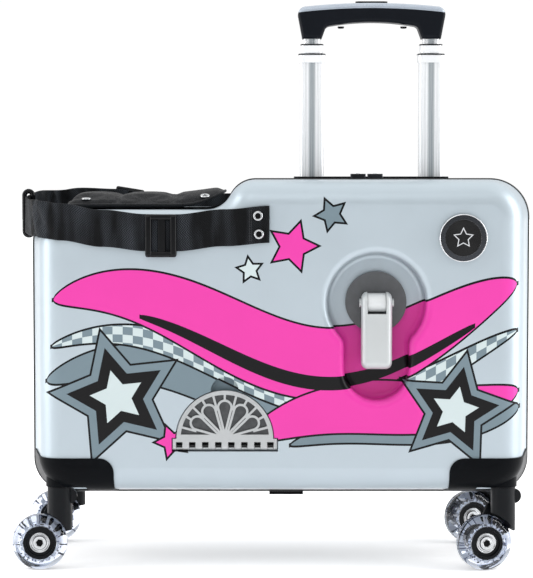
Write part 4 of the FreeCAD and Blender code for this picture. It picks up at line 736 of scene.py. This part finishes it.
def build_slide_buckle(side, x, y, z, lean=0.0):
    """A three-bar buckle: rails above and below, and bars that the belt is threaded over."""
    tool = bmesh.new()
    out = math.copysign(1, y)
    face = y + out * 0.0024
    half_length, half_height = 0.0133, 0.0198
    for dx in (-half_length, half_length):
        rounded_block(tool, (x + dx, face, z), (0.0070, 0.0060, 0.0440), 0.0025)
    for dz in (-half_height, half_height):
        rounded_block(tool, (x, face - out * 0.0004, z + dz), (0.0335, 0.0052, 0.0062), 0.0024)
    rounded_block(tool, (x + 0.0008, y + out * 0.0012, z), (0.0086, 0.0044, 0.0420), 0.0020)
    turn = Matrix.Translation((x, y, z)) @ Matrix.Rotation(lean, 4, "Y") @ Matrix.Translation((-x, -y, -z))
    bmesh.ops.transform(tool, matrix=turn, verts=tool.verts)
    buckle = new_piece(f"{side}_buckle", tool, f"{side}_case", "buckle", gloss_black)
    buckle.modifiers.new("even_shading", "WEIGHTED_NORMAL")
    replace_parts(buckle, f"{side}_slide_buckle")


EYELET_RADIUS = 5.4
SEAT_EYELETS = [(x, y) for y in (-0.058, 0.058) for x in (-0.2135, -0.0845)]


def eyelet(tool, centre, axis, hole, height):
    """A rolled ring and the dark hole inside it, with sizes in millimetres."""
    rim = EYELET_RADIUS - hole
    lathe(tool, [(hole, -0.6), (hole, height * 0.6), (hole + rim * 0.3, height),
                 (hole + rim * 0.7, height * 0.85), (EYELET_RADIUS, height * 0.25), (EYELET_RADIUS, -0.6)],
          centre, axis)
    lathe(tool, [(0.2, height * 0.25), (hole * 0.8, height * 0.2), (hole, height * 0.1), (hole, -0.5),
                 (0.2, -0.5)], centre, axis, look=1)


def belt_face(side):
    """Where the belt's outer face lies. It is doubled at its front end."""
    return side * (BELT_Y + (0.0010 if side > 0 else 0.0021))


def build_rivets():
    front, rear = bmesh.new(), bmesh.new()
    for tool, side, heights in ((front, -1, (0.3846, 0.3652)), (rear, 1, (0.3945, 0.3750))):
        for x, z in zip((-0.0253, -0.0243), heights):
            eyelet(tool, (x, belt_face(side), z), (0, side, 0), 3.0, 1.6)
    for x, y in SEAT_EYELETS:
        point, normal = cushion_top(x, y)
        lie = (normal + UP * 1.2).normalized()
        eyelet(rear, point + lie * 0.0004, lie, 2.8, 1.5)
    for tool, name, body, node in ((front, "front_belt_eyelets", "front_case", "front_belt_rivets"),
                                   (rear, "rear_eyelets", "rear_case", "rear_rivets")):
        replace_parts(new_piece(name, tool, body, "steel", steel, hole_black), node)


cushion_low, cushion_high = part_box("seat_cushion")
CUSHION_LEFT, CUSHION_RIGHT = cushion_low.x, cushion_high.x
CUSHION_LENGTH = CUSHION_RIGHT - CUSHION_LEFT
CUSHION_BASE = cushion_low.z
CUSHION_HALF = cushion_high.y - 0.001
CUSHION_SECTIONS, CUSHION_ROWS, CUSHION_COLUMNS = 3, 66, 44
CUSHION_RISE, CUSHION_TOP_RISE = 0.0155, 0.0075


def cushion_outline(share):
    """Half the cushion's depth there: drawn in between the corners, rounded at the corners."""
    corner, drawn_in = 0.024, 0.0075
    waist = CUSHION_HALF - drawn_in * math.sin(math.pi * share) ** 0.8
    end = min(share, 1 - share) * CUSHION_LENGTH
    if end < corner:
        waist -= corner - math.sqrt(max(corner ** 2 - (corner - end) ** 2, 0))
    return waist


def cushion_climb(x, rise):
    start = CUSHION_RIGHT - CUSHION_LENGTH / CUSHION_SECTIONS
    return rise * max(0.0, (x - start) / (CUSHION_RIGHT - start)) ** 2


def cushion_height(share, side):
    """Height of the top above the flat base, by place along the pad and from side to side."""
    edge_height, seam_height, lobe_height, end_share = 0.0036, 0.0122, 0.0022, 0.16
    local = (share * CUSHION_SECTIONS) % 1.0 if 0 < share < 1 else 0.0
    lobe = math.sin(math.pi * local) ** 0.55 if local else 0.0
    edge = min(1.0, min(share, 1 - share) * CUSHION_SECTIONS / end_share)
    crown = 1 - abs(side) ** 4.2
    middle = seam_height + lobe_height * lobe
    return edge_height + (middle - edge_height) * (0.25 + 0.75 * edge ** 0.6) * crown


def cushion_point(row, column, top):
    share = row / CUSHION_ROWS
    side = 2 * column / CUSHION_COLUMNS - 1
    x = CUSHION_LEFT + CUSHION_LENGTH * share
    y = side * cushion_outline(share)
    low = CUSHION_BASE + cushion_climb(x, CUSHION_RISE)
    if not top:
        return Vector((x, y, low))
    high = CUSHION_BASE + cushion_climb(x, CUSHION_TOP_RISE) + cushion_height(share, side)
    return Vector((x, y, max(high, low + 0.0022)))


def cushion_grid(top):
    return [[cushion_point(row, column, top) for column in range(CUSHION_COLUMNS + 1)]
            for row in range(CUSHION_ROWS + 1)]


cushion_tops = []


def cushion_top(x, y):
    """The point of the finished cushion's top nearest to a place, and the normal there."""
    flat = Vector((x, y))
    point, normal = min(cushion_tops, key=lambda item: (item[0].xy - flat).length_squared)
    return point.copy(), normal if normal.z > 0 else -normal


def build_cushion():
    tool = bmesh.new()
    tops, lows = ([[tool.verts.new(point) for point in row] for row in cushion_grid(top)]
                  for top in (True, False))
    for r in range(CUSHION_ROWS):
        for c in range(CUSHION_COLUMNS):
            tool.faces.new((tops[r][c], tops[r + 1][c], tops[r + 1][c + 1], tops[r][c + 1]))
            tool.faces.new((lows[r][c], lows[r][c + 1], lows[r + 1][c + 1], lows[r + 1][c]))
    for r in range(CUSHION_ROWS):
        for c in (0, CUSHION_COLUMNS):
            tool.faces.new((tops[r][c], lows[r][c], lows[r + 1][c], tops[r + 1][c]))
    for c in range(CUSHION_COLUMNS):
        for r in (0, CUSHION_ROWS):
            tool.faces.new((tops[r][c], tops[r][c + 1], lows[r][c + 1], lows[r][c]))
    seams = {CUSHION_ROWS * k // CUSHION_SECTIONS for k in range(CUSHION_SECTIONS + 1)}
    width = CUSHION_COLUMNS + 1
    total = (CUSHION_ROWS + 1) * width
    held = [number for number in range(total)
            if number // width in seams or number % width in (0, CUSHION_COLUMNS)]
    held.extend(range(total, 2 * total))
    pad = new_piece("seat_pad", tool, None, "cushion", leather)
    swell_cushion(pad, held)
    pad.data.update()
    cushion_tops.extend((v.co.copy(), v.normal.copy()) for v in pad.data.vertices[:total])
    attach(pad, "rear_case")
    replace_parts(pad, "seat_cushion")
    smoother = pad.modifiers.new("smoother", "SUBSURF")
    smoother.levels = smoother.render_levels = 1
    build_piping()
    build_stitches()


CLOTH = dict(vertex_group_mass="held", use_pressure=True, uniform_pressure_force=5.0, mass=0.3,
             shrink_min=-0.035, tension_stiffness=12, bending_stiffness=0.4)
CLOTH_FRAMES, CLOTH_REACH = 20, 0.0024


def swell_cushion(pad, held):
    """Blows the pad up as cloth, held at its seams, edges and underside."""
    group = pad.vertex_groups.new(name="held")
    group.add(held, 1.0, "REPLACE")
    rest = [vertex.co.copy() for vertex in pad.data.vertices]
    cloth = pad.modifiers.new("cloth", "CLOTH")
    for name, value in CLOTH.items():
        setattr(cloth.settings, name, value)
    cloth.settings.effector_weights.gravity = 0.0
    scene = bpy.context.scene
    for number in range(1, CLOTH_FRAMES + 1):
        scene.frame_set(number)
    graph = bpy.context.evaluated_depsgraph_get()
    swollen = pad.evaluated_get(graph).to_mesh()
    moved = [vertex.co.copy() for vertex in swollen.vertices]
    pad.evaluated_get(graph).to_mesh_clear()
    pad.modifiers.remove(cloth)
    pad.vertex_groups.remove(group)
    for vertex, start, stop in zip(pad.data.vertices, rest, moved):
        shift = stop - start
        if shift.length > CLOTH_REACH:
            shift = shift.normalized() * CLOTH_REACH
        vertex.co = start + shift
    scene.frame_set(1)


def build_piping():
    """The rolled edge round the pad."""
    tops = cushion_grid(True)
    edge = [row[0] for row in tops] + tops[-1][1:] + [row[-1] for row in tops[-2::-1]] + tops[0][-2:0:-1]
    tool = bmesh.new()
    tube_along(tool, [point - UP * 0.0006 for point in edge], 0.0016, 8, closed=True)
    new_piece("seat_piping", tool, "rear_case", "cushion", piping_leather)


def sew(tool, middle, along, out, half, shoulder, sink, radius):
    """One stitch: a thread that rises out of the cloth and goes back into it."""
    rise = 0.0004
    line = ((-half, -sink), (-shoulder, rise), (shoulder, rise), (half, -sink))
    tube_along(tool, [middle + along * shift + out * lift for shift, lift in line], radius, 6)


def build_stitches():
    """Thread along the sewn channels of the pad."""
    tool = bmesh.new()
    for seam in range(1, CUSHION_SECTIONS):
        x = CUSHION_LEFT + CUSHION_LENGTH * seam / CUSHION_SECTIONS
        reach = cushion_outline(seam / CUSHION_SECTIONS) - 0.006
        count = int(2 * reach / 0.0052)
        for number in range(count):
            y = -reach + 2 * reach * (number + 0.5) / count
            middle = Vector((x, y, cushion_top(x, y)[0].z))
            sew(tool, middle, Vector((0, 1, 0)), UP, 0.0019, 0.001, 0.0001, 0.00042)
    new_piece("seat_stitches", tool, "rear_case", "cushion", thread)


def build_belt_stitches():
    """Rows of thread where the belt's doubled end is sewn."""
    count, run = 9, 0.0330
    for half, side, dip in (("front", -1, FRONT_DIP), ("rear", 1, REAR_DIP)):
        tool = bmesh.new()
        for x in (-0.0325, -0.0345):
            middle = blend_line(dip, x)
            for number in range(count):
                z = middle + run * ((number + 0.5) / count - 0.5)
                sew(tool, Vector((x, belt_face(side), z)), UP, Vector((0, side, 0)),
                    0.0013, 0.0006, 0.0002, 0.0004)
        new_piece(f"{half}_belt_stitches", tool, f"{half}_case", "webbing", thread)


def rounded_frame(tool, centre, half_width, half_depth, corner, thick, bottom, height):
    """A low band round a tube, its section rounded."""
    section = [(0, 0), (thick, height * 0.25), (thick, height * 0.75), (0, height)]
    steps = 6
    rings = []
    for way_x, way_y, start in ((1, 1, 0), (-1, 1, 90), (-1, -1, 180), (1, -1, 270)):
        base = Vector((centre[0] + way_x * (half_width - corner), centre[1] + way_y * (half_depth - corner)))
        for step in range(steps + 1):
            angle = math.radians(start + 90 * step / steps)
            out = Vector((math.cos(angle), math.sin(angle)))
            rings.append([Vector((*(base + out * (corner + across)), bottom + up))
                          for across, up in section])
    skin(tool, rings)


def build_wipers():
    """Black seals at the mouth of each collar."""
    corner, thick, height = 0.005, 0.0006, 0.0016
    for stage, half_width, half_depth in (("low", 0.0147, 0.0113), ("mid", 0.0124, 0.0091)):
        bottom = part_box(f"stage_{stage}_collars")[1].z - height
        tool = bmesh.new()
        for x in TUBE_X:
            rounded_frame(tool, (x, TUBE_Y), half_width, half_depth, corner, thick, bottom, height)
        new_piece(f"{stage}_wipers", tool, f"handle_{stage}", "grip", gloss_black)


def build_grip_screws():
    """The two screw wells in the underside of the grip."""
    well = [(0.1, 0.4), (2.2, 0.4), (3.0, 1.2), (3.6, 0.6), (3.6, -1.0), (0.1, -1.0)]
    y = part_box("grip_body")[0].y + 0.0075
    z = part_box("grip_cap")[0].z - 0.0165
    tool = bmesh.new()
    for x in (0.0673, 0.1376):
        lathe(tool, well, (x, y, z), -UP, 24)
    new_piece("grip_screw_wells", tool, "handle_grip", "grip", gloss_black)


def build_zip_pulls():
    """A small tongue on each zip slider, lying away from its neighbour."""
    for side, away in (("left", -1), ("right", 1)):
        low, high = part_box(f"zip_slider_{side}")
        middle = (low + high) / 2
        points = []
        for angle in around(24):
            points.append(Vector((middle.x + away * 0.0028 + 0.0040 * math.cos(angle),
                                  middle.y + 0.0026 * math.sin(angle),
                                  high.z - 0.0006 - 0.0006 * away * math.cos(angle))))
        tool = bmesh.new()
        tube_along(tool, points, 0.0007, 8, closed=True)
        rounded_block(tool, (middle.x, middle.y, high.z - 0.0004), (0.0044, 0.0038, 0.0022), 0.0008)
        new_piece(f"zip_pull_{side}", tool, f"zip_{side}", "zip", steel)


BEARING_SEAT, BOLT_FACE = 0.0071, 0.0100
# Profiles to turn: radius and height, in millimetres.
RACE = [(7.4, -0.2), (7.4, 1.0), (8.0, 1.3), (8.6, 0.8), (9.6, 0.8), (10.0, 1.6), (10.8, 1.6), (11.2, 1.0),
        (11.2, -0.2)]
SHIELD = [(11.3, -0.2), (11.3, 0.6), (12.6, 0.9), (14.0, 0.4), (14.7, 1.2), (14.7, -0.2)]
KEY_FLOOR = [(0.2, -0.4), (4.1, 0.1), (4.1, -1.6), (0.2, -1.6)]


def wheel_frame(caster):
    """Centre and axis of a wheel, the axis pointing to its open side."""
    joint = next(j for j in frame["joints"] if j["name"] == f"{caster}_roll")
    return Vector(joint["pos_m"]), -Vector(joint["axis"])


def build_bearings(caster):
    """Steel race and dark shield of each wheel bearing."""
    centre, axis = wheel_frame(caster)
    tool = bmesh.new()
    for way in (axis, -axis):
        for look, profile in enumerate((RACE, SHIELD)):
            lathe(tool, profile, centre + way * BEARING_SEAT, way, look=look)
    new_piece(f"{caster}_bearings", tool, f"{caster}_wheel", "steel", steel, fork_black)


def build_bolt_key(caster):
    """The six-sided socket in the head of the axle bolt."""
    centre, axis = wheel_frame(caster)
    face = centre + axis * BOLT_FACE
    out_at = spoke(axis)
    tool = bmesh.new()
    rings = []
    for radius, height, six_sided in ((0.0048, -0.0013, False), (0.0048, 0.0002, False),
                                      (0.0042, 0.0002, True), (0.0042, -0.0013, True)):
        ring = []
        for angle in around(36):
            fold = (angle % (math.pi / 3)) - math.pi / 6
            reach = radius * math.cos(math.pi / 6) / math.cos(fold) if six_sided else radius
            ring.append(face + axis * height + out_at(angle) * reach)
        rings.append(ring)
    skin(tool, rings)
    lathe(tool, KEY_FLOOR, face, axis, 24, look=1)
    new_piece(f"{caster}_bolt_key", tool, f"{caster}_caster", "steel", steel, hole_black)


def build_flakes(caster, seed):
    """Chips cast into the clear tyre round its hub."""
    draw = random.Random(seed)
    centre, axis = wheel_frame(caster)
    out_at = spoke(axis)
    tool = bmesh.new()
    for _ in range(48):
        out = out_at(draw.uniform(0, math.tau))
        reach = draw.uniform(0.0200, 0.0236)
        depth = draw.choice((1, -1)) * draw.uniform(0.0060, 0.0084)
        place = centre + out * reach + axis * depth
        look = draw.choices((0, 1, 2), (5, 4, 2))[0]
        length, width, thick = draw.uniform(0.0006, 0.0015), draw.uniform(0.0004, 0.0009), 0.0002
        twist = draw.uniform(0, math.pi)
        first = (axis.cross(out) * math.cos(twist) + out * math.sin(twist)).normalized()
        second = axis.cross(first).normalized()
        lean = (axis + first * draw.uniform(-0.5, 0.5) + second * draw.uniform(-0.5, 0.5)).normalized()
        second = lean.cross(first).normalized()
        corners = [(length, width * 0.2), (length * 0.3, width), (-length, width * 0.6),
                   (-length * 0.6, -width), (length * 0.5, -width * 0.8)]
        skin(tool, [[place + first * a + second * b + lean * h for a, b in corners] for h in (-thick, thick)],
             False, look)
    new_piece(f"{caster}_flakes", tool, f"{caster}_wheel", "tyre", flake_dark, flake_light, flake_blue,
              smooth=False)


def build_core(caster, seed):
    """The toothed core that the clear tyre is cast round, one ring near each side."""
    root, gap = 0.0187, 0.0194
    draw = random.Random(seed)
    centre, axis = wheel_frame(caster)
    out_at = spoke(axis)
    tool = bmesh.new()
    steps = 120
    for way in (1, -1):
        heights = []
        while len(heights) < steps:
            tall = draw.uniform(0.0208, 0.0216)
            heights += [tall] * draw.randint(3, 5) + [gap] * draw.randint(2, 4)
        rings = []
        for angle, reach in zip(around(steps), heights):
            out = out_at(angle)
            rings.append([centre + out * radius + axis * (way * depth) for radius, depth in
                          ((root, 0.0082), (reach, 0.0086), (reach, 0.0096), (root, 0.0098))])
        skin(tool, rings, look=lambda: draw.choices((0, 1), (4, 1))[0])
    new_piece(f"{caster}_core", tool, f"{caster}_wheel", "tyre", core_white, flake_blue, smooth=False)


INNER_BEAD = [(19.3, -0.4), (19.4, 0.8), (19.9, 1.2), (20.3, 0.8), (20.3, -0.4)]
OUTER_BEAD = [(24.6, -0.3), (24.7, 0.5), (25.1, 0.8), (25.6, 0.4), (25.7, -2.0), (24.6, -2.0)]


def build_badge_rim():
    """A fine bright bead inside the badge's dark ring and another outside it."""
    across, up = BADGE_CENTRE
    tool = bmesh.new()
    for node, bead in (("badge_disc", INNER_BEAD), ("badge_ring", OUTER_BEAD)):
        lathe(tool, bead, (across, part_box(node)[0].y, up), (0, -1, 0), 72)
    new_piece("badge_beads", tool, "front_case", "badge_ring", chrome)


def build_stage():
    tool = bmesh.new()
    bmesh.ops.create_circle(tool, cap_ends=True, radius=14.0, segments=64)
    floor_mesh = bpy.data.meshes.new("studio_floor")
    tool.to_mesh(floor_mesh)
    tool.free()
    floor_mesh.materials.append(paper)
    show(bpy.data.objects.new("studio_floor", floor_mesh))


def add_light(name, where, target, width, height, power):
    data = bpy.data.lights.new(name, "AREA")
    data.shape = "RECTANGLE"
    data.size, data.size_y = width, height
    data.energy = power
    light = show(bpy.data.objects.new(name, data))
    light.location = where
    light.rotation_euler = (Vector(target) - Vector(where)).to_track_quat("-Z", "Y").to_euler()


ROOM_FRONT, ROOM_BACK, CEILING, BACKDROP = 0.24, 0.62, 1.15, 1.02


def build_light():
    """A room that is dimmer in front, with a bright ceiling, a white backdrop and soft boxes."""
    world = bpy.data.worlds.new("studio")
    world.use_nodes = True
    graph = Graph(world.node_tree)
    _, y, z = graph.axes(graph.node("TexCoord").outputs["Generated"])
    room = graph.add(graph.ramp(y, -0.5, 0.3, ROOM_FRONT, ROOM_BACK),
                     graph.ramp(z, 0.1, 1, 0, CEILING))
    seen = graph.node("LightPath").outputs["Is Camera Ray"]
    background = world.node_tree.nodes["Background"]
    background.inputs["Color"].default_value = WHITE
    graph.put(background.inputs["Strength"], graph.times_add(seen, graph.minus(BACKDROP, room), room))
    bpy.context.scene.world = world
    add_light("key_box", (-0.7, -2.6, 2.2), (0, 0, 0.25), 2.2, 1.6, 15)
    for name, x, power in (("left_box", -2.1, 30), ("right_box", 2.1, 40)):
        add_light(name, (x, -0.35, 0.9), (0, 0, 0.3), 1.3, 2.0, power)
    bpy.context.scene.view_settings.view_transform = "Standard"


# The photograph's camera, fitted to the near and far casters.
FOCAL_PIXELS, FRAME_HEIGHT, SENSOR = 2095, 578, 36
CAMERA_PLACE, CAMERA_PITCH = (-0.0162, -2.344, 0.442), -3.47


def build_camera():
    data = bpy.data.cameras.new("camera")
    data.sensor_width = SENSOR
    data.lens = FOCAL_PIXELS / FRAME_HEIGHT * SENSOR
    camera = show(bpy.data.objects.new("camera", data))
    camera.location = CAMERA_PLACE
    camera.rotation_euler = (math.radians(90 + CAMERA_PITCH), 0, 0)
    bpy.context.scene.camera = camera


build_belt()
build_slide_buckle("front", -0.1288, -BELT_Y, 0.3635)
build_slide_buckle("rear", -0.1790, BELT_Y, 0.3890, 0.16)
build_cushion()
build_rivets()
build_belt_stitches()
build_wipers()
build_grip_screws()
build_zip_pulls()
for seed, caster in enumerate(CASTERS):
    build_bearings(caster)
    build_bolt_key(caster)
    build_flakes(caster, 20 + seed)
    build_core(caster, 40 + seed)
build_badge_rim()
build_stage()
build_light()
build_camera()
